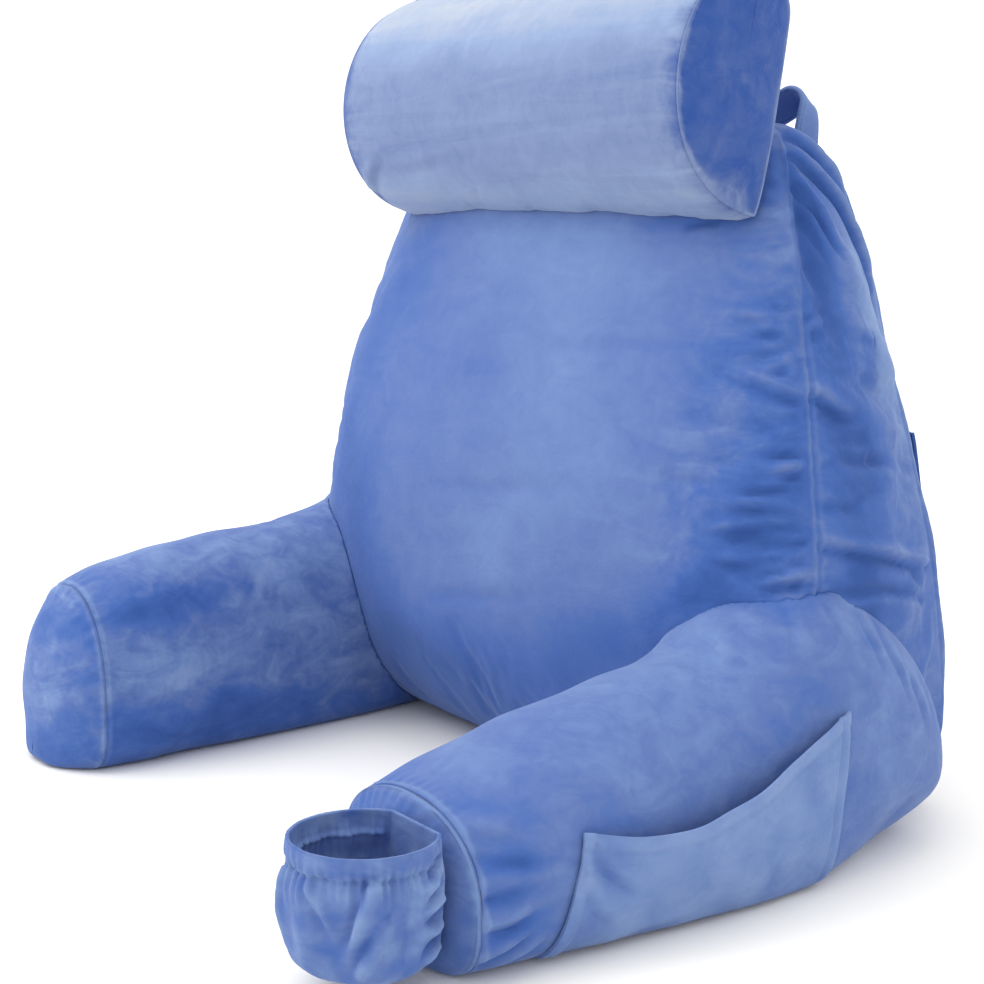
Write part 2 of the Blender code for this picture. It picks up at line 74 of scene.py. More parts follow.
FRONT_STEPS, GUSSET_STEPS, REAR_STEPS = 100, 34, 26

ArmRow = namedtuple("ArmRow", "y inner outer top low tuck base")
ARM_REAR = in_metres(ArmRow, 5, (
    (-120, 182, 331, 178, 0, 0, 6), (-85, 184, 330, 196, 0, 0.04, 5),
    (-48, 188, 327, 189, 0, 0.28, 4), (-15, 192, 321, 169, 0, 0.54, 3.4),
    (12, 200, 313, 144, 1, 0.72, 3.2), (30, 210, 305, 118, 6, 0.78, 3),
    (41, 222, 296, 92, 16, 0.76, 2.8), (44, 240, 284, 68, 34, 0.6, 2.6),
))
RIGHT_ARM_ROWS = in_metres(ArmRow, 5, (
    (-368, 184, 330, 96, 0, 0, 3.2), (-345, 180, 333, 102, 0, 0, 3.4),
    (-310, 178, 333, 114, 0, 0, 3.7), (-260, 178, 332, 128, 0, 0, 4.4),
    (-210, 180, 331, 138, 0, 0, 5.4), (-160, 182, 331, 150, 0, 0, 6.2),
)) + ARM_REAR
LEFT_ARM_ROWS = in_metres(ArmRow, 5, (
    (-380, 158, 288, 137, 0, 0, 4), (-345, 156, 297, 150, 0, 0, 4.2),
    (-310, 156, 305, 156, 0, 0, 3.7), (-260, 161, 314, 160, 0, 0, 4.2),
    (-210, 169, 321, 162, 0, 0, 5), (-160, 177, 327, 167, 0, 0, 5.8),
)) + ARM_REAR
ARM_POINTS = 96
ARM_WAIST = 0.46
ARM_TOP_POWER = 2.2
ARM_SINK = 0.003
ARM_TUCK_POWER = 1.4
CAP_POWER = 2.9
CAP_CLOTH = 0.0030
CAP_TOUCH = 0.0006
CAP_SHARES = (1.0, 0.992, 0.98, 0.962, 0.94, 0.912, 0.88, 0.84, 0.79, 0.73, 0.66, 0.58, 0.49, 0.39, 0.28,
              0.17, 0.07)
CapShape = namedtuple("CapShape", "crown heart sag flat")
RIGHT_CAP = CapShape(crown=0.014, heart=0.30, sag=0.34, flat=-0.3800)
LEFT_CAP = CapShape(crown=0.031, heart=0.20, sag=0.15, flat=-1.0)

ROLL_HALF = 0.211
ROLL_FOOT = np.array((0.0, -0.066, 0.420))
ROLL_HEIGHT = 0.180
ROLL_DEPTH = 0.086
ROLL_LEAN = math.radians(10.0)
ROLL_REAR_BULGE = 0.006
ROLL_SHOULDER = 0.78
ROLL_SHOULDER_DROP = 0.030
ROLL_END_CROWN = 0.009
ROLL_FRONT_STEPS, ROLL_REAR_STEPS = 56, 34

HANDLE_WIDTH = 0.024
HANDLE_THICK = 0.0045
HANDLE_Y = 0.035
HandlePoint = namedtuple("HandlePoint", "x z turn")   # turn: how many degrees the strap's rear edge drops
HANDLE_LINE = in_metres(HandlePoint, 2, (
    (151.5, 462, 0), (153, 476, 2), (154.5, 489, 8), (154.8, 498.5, 20), (152.5, 504.5, 36),
    (144.5, 506.5, 42), (133, 502, 56), (119, 497.5, 68), (98, 496, 70), (50, 495.5, 70), (0, 495.5, 70),
))

PocketRow = namedtuple("PocketRow", "y mouth gape")
POCKET_ROWS = (
    PocketRow(-0.296, 0.0790, 0.000),
    PocketRow(-0.262, 0.0725, 0.007),
    PocketRow(-0.230, 0.0725, 0.013),
    PocketRow(-0.196, 0.0790, 0.015),
    PocketRow(-0.160, 0.0895, 0.013),
    PocketRow(-0.125, 0.1045, 0.008),
    PocketRow(-0.086, 0.1170, 0.000),
)
POCKET_FLARE = 0.022
POCKET_REAR_SLANT = 0.010
POCKET_FLOOR = 0.0030
POCKET_OFF = 0.0012
POCKET_SLACK = 0.75

POUCH_X, POUCH_Y = 0.288, -0.4150
POUCH_BACK = RIGHT_CAP.flat - TOUCH
PouchRow = namedtuple("PouchRow", "z radius fold gather")
POUCH_ROWS = (
    PouchRow(0.0130, 0.018, 0.0000, 0.0000),
    PouchRow(0.0135, 0.028, 0.0008, 0.0000),
    PouchRow(0.0170, 0.0360, 0.0018, 0.0000),
    PouchRow(0.0240, 0.0405, 0.0026, 0.0000),
    PouchRow(0.0360, 0.0422, 0.0032, 0.0000),
    PouchRow(0.0510, 0.0434, 0.0034, 0.0002),
    PouchRow(0.0660, 0.0440, 0.0028, 0.0006),
    PouchRow(0.0765, 0.0422, 0.0008, 0.0010),
    PouchRow(0.0830, 0.0428, 0.0003, 0.0003),
    PouchRow(0.0895, 0.0424, 0.0001, 0.0001),
)
POUCH_GATHERS = 14
POUCH_GIRTH = 0.043       # the radius on which its creases are measured round it
POUCH_FOLDS = ((3, 0.55, 0.4), (5, 0.60, 2.1), (8, 0.35, 4.0))   # count, share, turn

BACK_POCKET_HALF = 0.234      # at its mouth
BACK_POCKET_SLANT = 0.009     # how much wider each half is at its lower edge
BACK_POCKET_LOW, BACK_POCKET_HIGH = 0.118, 0.272
BACK_POCKET_GAPE = 0.012
BACK_POCKET_OFF = 0.0009
BACK_POCKET_EDGE = 0.0048     # how much further its side edges stand off near the mouth


# ---------------------------------------------------------------- dyes: shader maths as sums
class Yarn:
    """One socket of a material, with its sums written as in Python."""

    def __init__(self, dye, socket):
        self.dye, self.socket = dye, socket

    def sum(self, operation, *others):
        return self.dye.node("ShaderNodeMath", {"operation": operation}, list(enumerate((self, *others))))

    def __add__(self, other):
        return self.sum("ADD", other)

    def __sub__(self, other):
        return self.sum("SUBTRACT", other)

    def __rsub__(self, other):
        return self.dye.node("ShaderNodeMath", {"operation": "SUBTRACT"}, [(0, other), (1, self)])

    def __mul__(self, other):
        return self.sum("MULTIPLY", other)

    __radd__, __rmul__ = __add__, __mul__

    def capped(self):
        return self.dye.node("ShaderNodeClamp", {}, [(0, self)])


class Dye:
    """A material whose nodes are added one call at a time."""

    def __init__(self, name):
        self.material = bpy.data.materials.new(name)
        self.material.use_nodes = True
        self.tree = self.material.node_tree
        self.shader = self.tree.nodes["Principled BSDF"]

    def node(self, kind, settings, values, out=0):
        made = self.tree.nodes.new(kind)
        for key, value in settings.items():
            if key == "stops":
                ramp = made.color_ramp
                for index, (place, colour) in enumerate(value):
                    stop = ramp.elements[index] if index < 2 else ramp.elements.new(place)
                    stop.position, stop.color = place, (*colour, 1.0)
            else:
                setattr(made, key, value)
        for key, value in values:
            self.feed(made.inputs[key], value)
        return Yarn(self, made.outputs[out])

    def feed(self, socket, value):
        if isinstance(value, Yarn):
            self.tree.links.new(value.socket, socket)
        else:
            socket.default_value = value

    def noise(self, where, scale, detail=2.0, roughness=0.5, distortion=0.0):
        return self.node("ShaderNodeTexNoise", {}, [
            ("Vector", where), ("Scale", scale), ("Detail", detail), ("Roughness", roughness),
            ("Distortion", distortion)])

    def stretched(self, where, stretch):
        return self.node("ShaderNodeVectorMath", {"operation": "MULTIPLY"}, [(0, where), (1, stretch)])

    def painted(self, name):
        return self.node("ShaderNodeAttribute", {"attribute_name": name}, [], out="Fac")


def plush(name, shades, brushing, clouds, sheen, sheen_tint):
    """Short-pile plush. shades run from dark, the nap lying away, to light, the nap standing to the light;
    the painted value that picks a shade carries the nap's own tone together with painted light and shade.
    """
    dye = Dye(name)
    where = dye.node("ShaderNodeTexCoord", {}, [], out="Object")
    # the painted value: the nap's own tone, and painted light and shade
    tone_and_shade = dye.painted("nap")
    patches = dye.noise(where, 9.0, detail=2.5, roughness=0.55, distortion=0.6)
    strokes = dye.noise(dye.stretched(where, brushing), 36.0, detail=3.0, roughness=0.6, distortion=1.0)
    hand = dye.noise(where, 75.0, detail=3.0, roughness=0.6, distortion=0.8)
    mottle = dye.painted("mottle")
    tone_and_shade = tone_and_shade + (patches - 0.5) * (clouds + mottle * 0.70) + (strokes - 0.5) * (0.18 + mottle * 0.85)
    tone_and_shade = tone_and_shade + (hand - 0.5) * (0.14 + mottle * 0.36)
    colour = dye.node("ShaderNodeValToRGB", {"stops": shades}, [("Fac", tone_and_shade.capped())], out="Color")
    dye.feed(dye.shader.inputs["Base Color"], colour)
    pile = dye.noise(where, 1500.0, detail=2.0, roughness=0.7)
    tufts = dye.noise(where, 420.0, detail=2.0, roughness=0.6)
    height = pile * 0.6 + tufts * 0.8 + strokes * 2.2 + hand * 0.8
    bump = dye.node("ShaderNodeBump", {}, [("Strength", 0.35), ("Distance", 0.0010), ("Height", height)])
    dye.feed(dye.shader.inputs["Normal"], bump)
    dye.feed(dye.shader.inputs["Roughness"], 0.93 - tufts * 0.10)
    dye.shader.inputs["Specular IOR Level"].default_value = 0.18
    dye.shader.inputs["Sheen Weight"].default_value = sheen
    dye.shader.inputs["Sheen Roughness"].default_value = 0.42
    dye.shader.inputs["Sheen Tint"].default_value = (*sheen_tint, 1.0)
    return dye.material


COVER_SHADES = (
    (0.00, (0.030, 0.080, 0.280)), (0.28, (0.044, 0.105, 0.345)), (0.44, (0.060, 0.124, 0.362)),
    (0.60, (0.092, 0.152, 0.372)), (0.80, (0.130, 0.208, 0.425)), (1.00, (0.172, 0.250, 0.465)),
)
ROLL_SHADES = (
    (0.00, (0.026, 0.074, 0.290)), (0.25, (0.090, 0.140, 0.330)), (0.42, (0.160, 0.217, 0.390)),
    (0.62, (0.226, 0.300, 0.470)), (0.90, (0.371, 0.410, 0.490)), (1.00, (0.450, 0.490, 0.540)),
)
SHEEN_TINT = (0.62, 0.74, 1.0)
cover_plush = plush("plush_cover_nap", COVER_SHADES, (0.50, 0.65, 1.2), 0.24, 0.25, SHEEN_TINT)
roll_plush = plush("plush_roll_nap", ROLL_SHADES, (0.12, 1.0, 1.0), 0.14, 0.25, SHEEN_TINT)


# ---------------------------------------------------------------- drawing, stuffing and sewing
def row_at(rows, place):
    """The row of a table at any place, on a smooth curve through the rows. The first column is the place."""
    place = min(max(place, rows[0][0]), rows[-1][0])
    index = max(i for i in range(len(rows) - 1) if rows[i][0] <= place)
    before, after = rows[index], rows[index + 1]
    earlier, later = rows[max(index - 1, 0)], rows[min(index + 2, len(rows) - 1)]
    span = after[0] - before[0]
    t = (place - before[0]) / span
    values = [place]
    for c in range(1, len(before)):
        m1 = (after[c] - earlier[c]) / (after[0] - earlier[0])
        m2 = (later[c] - before[c]) / (later[0] - before[0])
        values.append((2 * t**3 - 3 * t**2 + 1) * before[c] + (t**3 - 2 * t**2 + t) * span * m1
                      + (-2 * t**3 + 3 * t**2) * after[c] + (t**3 - t**2) * span * m2)
    return type(before)(*values)


def bulge(u):
    return np.maximum(0.0, 1.0 - np.abs(u) ** PANEL_POWER) ** PANEL_PUFF


def smooth(t):
    t = np.clip(t, 0.0, 1.0)
    return t * t * (3.0 - 2.0 * t)


def hump(far, wide):
    """1 where far is 0, and nearly nothing from twice as far as it is wide."""
    return np.exp(-(far / wide) ** 2)


def measured(grid, axis):
    """How far each point of a grid lies from the first one along its row or column."""
    steps = np.diff(grid, axis=axis, prepend=grid.take([0], axis=axis))
    return np.cumsum(np.linalg.norm(steps, axis=2), axis=axis)


def area_of(face):
    cells = np.cross(np.diff(face, axis=0)[:, :-1], np.diff(face, axis=1)[:-1])
    return float(np.linalg.norm(cells, axis=2).sum())


def evenly(line, steps):
    """steps + 1 points at even distances along a line."""
    run = np.r_[0.0, np.cumsum(np.linalg.norm(np.diff(line, axis=0), axis=1))]
    at = np.linspace(0.0, run[-1], steps + 1)
    return np.column_stack([np.interp(at, run, line[:, k]) for k in range(line.shape[1])])


def rings_apart(make, first, last, step, tries=900):
    """Rings at places from first to last, each about one step(place) from the one before it."""
    places, rings = [first], [make(first)]
    for place in np.linspace(first, last, tries)[1:]:
        ring = make(place)
        if np.linalg.norm(ring - rings[-1], axis=1).max() >= step(place) or place == last:
            places.append(place)
            rings.append(ring)
    return places, rings


def finer(grid):
    """Twice as many points each way, on a smooth surface through the old ones."""
    def halve(g, closed):
        if closed:
            padded = np.concatenate([g[-1:], g, g[:2]])
        else:
            padded = np.concatenate([2 * g[:1] - g[1:2], g, 2 * g[-1:] - g[-2:-1]])
        middle = (9.0 * (padded[1:-2] + padded[2:-1]) - padded[:-3] - padded[3:]) / 16.0
        out = np.empty((len(g) + len(middle),) + g.shape[1:])
        out[0::2], out[1::2] = g, middle
        return out
    return np.swapaxes(halve(np.swapaxes(halve(grid, False), 0, 1), True), 0, 1)


def outward(grid, wrap=True):
    """Unit normals of a grid of points."""
    along = np.gradient(grid, axis=0)
    around = np.roll(grid, -1, 1) - np.roll(grid, 1, 1) if wrap else np.gradient(grid, axis=1)
    normal = np.cross(around, along)
    normal /= np.maximum(np.linalg.norm(normal, axis=2, keepdims=True), 1e-12)
    heart = grid.mean(axis=(0, 1))
    if wrap and ((grid - heart) * normal).sum() < 0:
        normal = -normal
    return normal


def sew(name, grid, tips, material, nap=None, mottle=None):
    """A closed skin over rings of points, each end drawn together at its tip."""
    rows, count = grid.shape[:2]
    verts = np.vstack([grid.reshape(-1, 3), np.array(tips)])
    index = np.arange(rows * count).reshape(rows, count)
    nxt = np.roll(index, -1, 1)
    quads = np.stack([index[:-1], nxt[:-1], nxt[1:], index[1:]], axis=-1).reshape(-1, 4)
    low, high = rows * count, rows * count + 1
    fans = [(nxt[0, i], index[0, i], low) for i in range(count)]
    fans += [(index[-1, i], nxt[-1, i], high) for i in range(count)]
    faces = [tuple(q) for q in quads.tolist()] + [tuple(int(v) for v in f) for f in fans]
    paint = {key: np.r_[(values * np.ones((rows, count))).ravel(), np.mean(values), np.mean(values)]
             for key, values in (("nap", nap), ("mottle", mottle)) if values is not None}
    return cloth_object(name, verts, faces, material, paint)


def cloth_object(name, verts, faces, material, paint, sharp=None):
    mesh = bpy.data.meshes.new(name)
    mesh.from_pydata(verts.tolist(), [], faces)
    mesh.update()
    face_out(mesh)
    for key, values in paint.items():
        mesh.attributes.new(key, "FLOAT", "POINT").data.foreach_set("value", values.astype(np.float32))
    mesh.materials.append(material)
    mesh.shade_smooth()
    if sharp:
        mesh.set_sharp_from_angle(angle=math.radians(sharp))
    obj = bpy.data.objects.new(name, mesh)
    bpy.context.scene.collection.objects.link(obj)
    return obj


def face_out(mesh):
    """Turns a closed mesh's faces outwards."""
    count = len(mesh.vertices)
    co = np.empty(count * 3)
    mesh.vertices.foreach_get("co", co)
    co = co.reshape(-1, 3)
    mesh.calc_loop_triangles()
    tri = np.empty(len(mesh.loop_triangles) * 3, dtype=np.int32)
    mesh.loop_triangles.foreach_get("vertices", tri)
    a, b, c = (co[tri.reshape(-1, 3)[:, k]] for k in range(3))
    if np.einsum("ij,ij->i", a, np.cross(b, c)).sum() < 0.0:
        mesh.flip_normals()


def skin_of(obj):
    mesh = obj.data
    return BVHTree.FromPolygons([v.co for v in mesh.vertices], [tuple(p.vertices) for p in mesh.polygons])


def ironed(values, reach):
    """A grid's values evened out over so many points each way."""
    weight = hump(np.arange(-2 * reach, 2 * reach + 1), reach)
    weight /= weight.sum()
    rows = np.pad(values, [(2 * reach, 2 * reach), (0, 0)] + [(0, 0)] * (values.ndim - 2), mode="edge")
    down = sum(w * rows[i:i + len(values)] for i, w in enumerate(weight))
    return sum(w * np.roll(down, i - 2 * reach, axis=1) for i, w in enumerate(weight))


def stuffed(name, grid, tips, tight, slack, draw, most, frames=16):
    """Fills a cover by cloth simulation, its seams drawn tight and the rest left a little slack.

    Returns how far each point moved against the points around it, and at most so far.
    """
    obj = sew(name + "_filling", grid, tips, cover_plush)
    group = obj.vertex_groups.new(name="tight")
    weights = np.r_[tight.ravel(), 0.0, 0.0]
    for level in range(1, 11):
        chosen = np.nonzero(np.round(weights * 10) == level)[0]
        group.add(chosen.tolist(), level / 10, "REPLACE")
    filling = obj.modifiers.new("filling", "CLOTH")
    cloth = filling.settings
    cloth.quality = 5
    cloth.mass = 0.12
    cloth.tension_stiffness = cloth.compression_stiffness = 18.0
    cloth.shear_stiffness = 8.0
    cloth.bending_stiffness = 0.25
    cloth.tension_damping = cloth.compression_damping = cloth.shear_damping = 6.0
    cloth.air_damping = 2.0
    cloth.use_pressure = True
    cloth.uniform_pressure_force = 3.0
    cloth.vertex_group_shrink = group.name
    cloth.shrink_min = -slack
    cloth.shrink_max = draw
    cloth.effector_weights.gravity = 0.0
    filling.collision_settings.use_collision = False
    filling.point_cache.frame_start, filling.point_cache.frame_end = 1, frames
    scene = bpy.context.scene
    for frame_number in range(1, frames + 1):
        scene.frame_set(frame_number)
    result = obj.evaluated_get(bpy.context.evaluated_depsgraph_get())
    moved = np.empty(len(result.data.vertices) * 3)
    result.data.vertices.foreach_get("co", moved)
    scene.frame_set(1)
    bpy.data.objects.remove(obj, do_unlink=True)
    move = moved.reshape(-1, 3)[:grid.shape[0] * grid.shape[1]].reshape(grid.shape) - grid
    move -= ironed(move, 9)
    length = np.linalg.norm(move, axis=2, keepdims=True)
    return 0.5 * move * np.minimum(1.0, 2 * most / np.maximum(length, 1e-9))


# A crease in a panel: its path in the panel's own two measures, how wide it is, how far it stands up and how
# deep the trough along the right-hand side of the path is, all in millimetres, and how much of it is left at
# its first and last point. A stroke has no trough, and its ridge is how much lighter it paints the colour:
# partly the nap's own brushing, partly painted light and shade.
Crease = namedtuple("Crease", "path width ridge trough start end", defaults=(0.0, 0.3, 0.0))


def curve(points, steps):
    """A smooth line through a few points, as steps + 1 points."""
    points = np.array(points, dtype=float)
    padded = np.vstack([2 * points[0] - points[1], points, 2 * points[-1] - points[-2]])
    at = np.linspace(0, len(points) - 1, steps + 1)
    i = np.minimum(at.astype(int), len(points) - 2)
    f = (at - i)[:, None]
    p0, p1, p2, p3 = (padded[i + k] for k in range(4))
    bent = (2 * p0 - 5 * p1 + 4 * p2 - p3) * f**2 + (3 * p1 - p0 - 3 * p2 + p3) * f**3
    return 0.5 * (2 * p1 + (p2 - p0) * f + bent)


def traced(a, b, creases, unit=MM):
    """How much the creases raise a panel, or with a unit of 1 how much lighter they paint its colour, the
    nap's own tone and painted light and shade together, at each of its points.
    """
    total = np.zeros(a.shape)
    for crease in creases:
        line, width = curve(crease.path, 24) * MM, crease.width * MM
        reach = 4.0 * width
        low, high = line.min(axis=0) - reach, line.max(axis=0) + reach
        near = (a > low[0]) & (a < high[0]) & (b > low[1]) & (b < high[1])
        if not near.any():
            continue
        spot = np.column_stack([a[near], b[near]])[:, None]
        step = np.diff(line, axis=0)[None]
        share = np.clip(((spot - line[None, :-1]) * step).sum(2) / (step**2).sum(2), 0.0, 1.0)
        away = spot - (line[None, :-1] + share[:, :, None] * step)
        far = np.linalg.norm(away, axis=2)
        best = far.argmin(axis=1)
        pick = np.arange(len(best))
        left = np.sign(step[0, best, 0] * away[pick, best, 1] - step[0, best, 1] * away[pick, best, 0])
        side = -far[pick, best] * np.where(left == 0, 1.0, left)
        at = (best + share[pick, best]) / len(step[0])
        strength = crease.start + (1 - crease.start) * smooth(at / 0.3)
        strength *= crease.end + (1 - crease.end) * smooth((1 - at) / 0.45)
        ridge = crease.ridge * hump(side, width)
        trough = crease.trough * np.exp(-(np.abs(side - 1.5 * width) / (0.8 * width)) ** 1.5)
        total[near] += unit * strength * (ridge - trough)
    return total


def drag_lines(seed, count, low, high, reach, depth):
    """Small creases at random heights, each running off from a seam at 0, which draws them."""
    chance = np.random.default_rng(seed)
    lines = []
    for _ in range(count):
        b, far, sag = chance.uniform(low, high), chance.uniform(0.3, 1.0) * reach, chance.uniform(-0.3, 0.2)
        path = ((5, b), (far * 0.5, b + far * 0.5 * sag + chance.uniform(-2, 2)), (far, b + far * sag))
        size = chance.uniform(0.4, 1.0) * depth
        lines.append(Crease(path, chance.uniform(2.8, 4.4), size, size * 1.3, 0.35, 0.0))
    return tuple(lines)


def ripple(seed, a, b, size, count=7):
    """A smooth, seeded waviness over a panel, about -1 to 1, its waves about one size long."""
    chance = np.random.default_rng(seed)
    total = np.zeros_like(a)
    for _ in range(count):
        turn, shift, scale = (chance.uniform(*ends) for ends in ((0, 2 * np.pi), (0, 2 * np.pi), (0.7, 1.6)))
        total += np.sin(2 * np.pi * scale / size * (a * np.cos(turn) + b * np.sin(turn)) + shift)
    return total / math.sqrt(count)


# ---------------------------------------------------------------- the backrest
def backrest_ring(row):
    u = np.sin(np.linspace(-np.pi / 2, np.pi / 2, 161))
    wide = np.where(u < 0, row.half + row.left, row.half)
    front = evenly(np.column_stack([wide * u, row.seam - row.crown * bulge(u)]), FRONT_STEPS)
    wide = np.where(u > 0, row.back_half + row.left, row.back_half)
    rear = evenly(np.column_stack([-wide * u, row.back + row.back_crown * bulge(u)]), REAR_STEPS)
    s = np.linspace(0.0, 1.0, GUSSET_STEPS + 1)[:, None]

    def gusset(side, extra):
        near = np.array((side * (row.half + extra), row.seam))
        far = np.array((side * (row.back_half + extra), row.back))
        along = (far - near) / np.linalg.norm(far - near)
        out = np.array((along[1], -along[0])) * side
        return near + (far - near) * s + out * GUSSET_BULGE * np.sin(np.pi * s)

    right, left = gusset(1, 0.0), gusset(-1, row.left)[::-1]
    flat = np.vstack([front[:-1], right[:-1], rear[:-1], left[:-1]])
    return np.column_stack([flat, np.full(len(flat), row.z)])


def drawn_in(ring, share, rise=0.0):
    heart = ring.mean(axis=0)
    out = heart + (ring - heart) * share
    out[:, 2] = ring[:, 2] + rise
    return out


PANELS = ("front", "right", "rear", "left")      # right and left are the gussets
SEAMS = (0, FRONT_STEPS, FRONT_STEPS + GUSSET_STEPS, FRONT_STEPS + GUSSET_STEPS + REAR_STEPS)

# Creases in a gusset. The first measure runs back from its front seam, the second is the height.
GUSSET_CREASES = (
    Crease(((4, 484), (37, 470), (67, 450), (88, 425)), 4.2, 5.2, 5, 0.4, 0.3),
    Crease(((30, 463), (55, 449), (72, 433), (86, 414)), 3.6, 3.6, 3.4, 0.1, 0.1),
    Crease(((4, 471), (20, 462), (45, 446), (62, 430), (85, 408), (100, 375), (104, 335)),
           4, 6.4, 6, 0.4, 0.2),
    Crease(((5, 456), (9, 448), (14, 440), (25, 428), (32, 417), (40, 404), (55, 392)),
           3.6, 5.2, 5.4, 0.3, 0.1),
    Crease(((8, 440), (16, 424), (28, 406), (44, 378)), 4, 3.4, 3.4, 0.3, 0.1),
    Crease(((3, 446), (6, 426), (10, 399), (18, 369), (26, 345)), 7, -5),
    Crease(((30, 415), (60, 370), (85, 325), (100, 285)), 22, 6),
    Crease(((2, 314), (11, 311), (20, 305), (37, 297), (50, 298)), 4.2, 4, 3.6, 0.8),
    Crease(((18, 279), (40, 278), (60, 276)), 4.2, -3),
    Crease(((18, 269), (38, 264), (70, 261), (90, 256)), 4.2, -3.6, -2),
    Crease(((20, 237), (45, 232)), 4.2, -2),
    Crease(((8, 218), (32, 213), (53, 208), (78, 202), (105, 195), (125, 190)), 4.2, 4.2, 5, 0.6, 0.5),
    Crease(((98, 187), (110, 180), (124, 175)), 4.2, -3.6, -2),
    Crease(((6, 184), (36, 181), (62, 180), (85, 175), (105, 171), (122, 164)), 4.2, -4, -2.4, 0.8, 0.6),
)
# Drag creases in the front panel, most of them from the right seam. The measures are x and the height.
FRONT_CREASES = (
    Crease(((226, 325), (240, 322), (252, 318), (263, 312)), 4.2, 3.4, 4, 0.2, 0.9),
    Crease(((258, 339), (251, 343), (242, 341)), 4.2, -3, 0, 0.8),
    Crease(((281, 266), (267, 265), (250, 268)), 4.2, 3.4, 4.2, 0.8),
    Crease(((245, 241), (262, 242), (274, 240), (288, 236)), 4.2, 4.2, 3.2, 0.2, 0.9),
    Crease(((236, 224), (250, 227), (262, 229), (274, 231)), 4, 3.2, 2.4, 0.2, 0.3),
    Crease(((291, 218), (277, 216), (266, 219), (250, 218), (240, 214)), 3.6, -3.2, 0, 0.9),
    Crease(((244, 208), (256, 206), (266, 207), (276, 212)), 4, 3.4, 3, 0.2, 0.3),
    Crease(((294, 207), (281, 203), (262, 203)), 4.2, -3.2, 0, 0.9),
    Crease(((270, 192), (280, 194), (288, 197), (296, 199)), 4.2, 4.2, 4.4, 0.1, 0.9),
    Crease(((206, 296), (214, 293), (226, 289)), 4.2, -2),
    Crease(((-70, 216), (40, 228), (155, 243)), 6, -1.2),
    Crease(((70, 332), (140, 337), (205, 340)), 6, -1.4),
    Crease(((-60, 132), (30, 146), (125, 163)), 6, -1.4),
    Crease(((163, 418), (172, 420), (182, 420)), 4, -3.4, 0, 0.8, 0.8),
)
SEAM_CREASES = drag_lines(81, 34, 165, 390, 56, 2.0) + drag_lines(83, 8, 390, 460, 40, 1.0)
GUSSET_SEAM_CREASES = drag_lines(82, 22, 150, 400, 36, 1.6)
# Where the colour is painted darker or lighter, in the same measures: partly where a hand brushed the nap
# dark or light, partly painted light and shade. On the front, painted shade along the right seam where the
# panel turns from the light, where the arm meets it, low across the bottom, on the left and just under the
# neck roll, and painted light over the crown; on the gussets, painted shade in thin lines along the crease
# troughs and in a band along the front seam, and a lighter band behind it.
FRONT_STROKES_AND_SHADE = (
    Crease(((250, 360), (262, 300), (268, 262), (262, 225), (258, 195)), 28, -0.26, 0, 0.6, 0.8),
    Crease(((212, 160), (228, 176), (243, 190), (260, 204)), 11, -0.26, 0, 0.5, 0.5),
    Crease(((120, 120), (200, 150), (235, 165)), 26, -0.3, 0, 0.4, 0.6),
    Crease(((-220, 300), (-180, 180), (-140, 100), (-80, 40)), 46, -0.42, 0, 0.4, 0.9),
    Crease(((-140, 50), (-20, 62), (110, 95)), 48, -0.62, 0, 0.8, 0.5),
    Crease(((-150, 400), (-190, 330), (-220, 280)), 60, -0.22, 0, 0.8, 0.8),
    Crease(((80, 200), (110, 350)), 80, 0.11, 0, 1, 1),
    Crease(((-90, 405), (90, 400)), 34, 0.12, 0, 0.6, 0.6),
    Crease(((197, 464), (202, 442), (198, 424)), 13, -0.26, 0, 0.8, 0.8),
    Crease(((120, 418), (190, 424)), 9, -0.22, 0, 0.6, 0.8),
)
GUSSET_STROKES_AND_SHADE = (
    Crease(((12, 445), (22, 380), (36, 310), (44, 240), (46, 180)), 30, -0.38, 0, 0.8, 0.9),
    Crease(((6, 460), (12, 430), (20, 400)), 12, -0.2, 0, 0.8, 0.6),
    Crease(((4, 477), (33, 464), (62, 444), (84, 420)), 3.6, -0.38, 0, 0.8, 0.4),
    Crease(((4, 463), (18, 455), (41, 440), (58, 424), (80, 403), (94, 373)), 4.4, -0.42, 0, 0.8, 0.3),
    Crease(((10, 440), (22, 424), (36, 402), (50, 386)), 4, -0.36, 0, 0.8, 0.3),
    Crease(((8, 430), (14, 405), (24, 375), (34, 345)), 11, -0.22, 0, 0.8, 0.6),
    Crease(((50, 420), (75, 380), (96, 330), (112, 280), (122, 230)), 19, 0.17, 0, 0.6, 0.5),
    Crease(((23, 194), (42, 193), (62, 192)), 8, -0.24),
    Crease(((60, 341), (68, 337)), 5, -0.4, 0, 0.8, 0.8),
    Crease(((58, 330), (66, 327)), 5, -0.4, 0, 0.8, 0.8),
    Crease(((60, 318), (72, 314)), 5, -0.36, 0, 0.8, 0.8),
)
PAINTED_CREASE_SHADE = 60.0              # painted light and shade over creases: how much lighter the colour is painted per metre that a crease rises, and darker per metre that it sinks
SEAM_REACH = 14           # how many points to each side of a seam its own relief takes


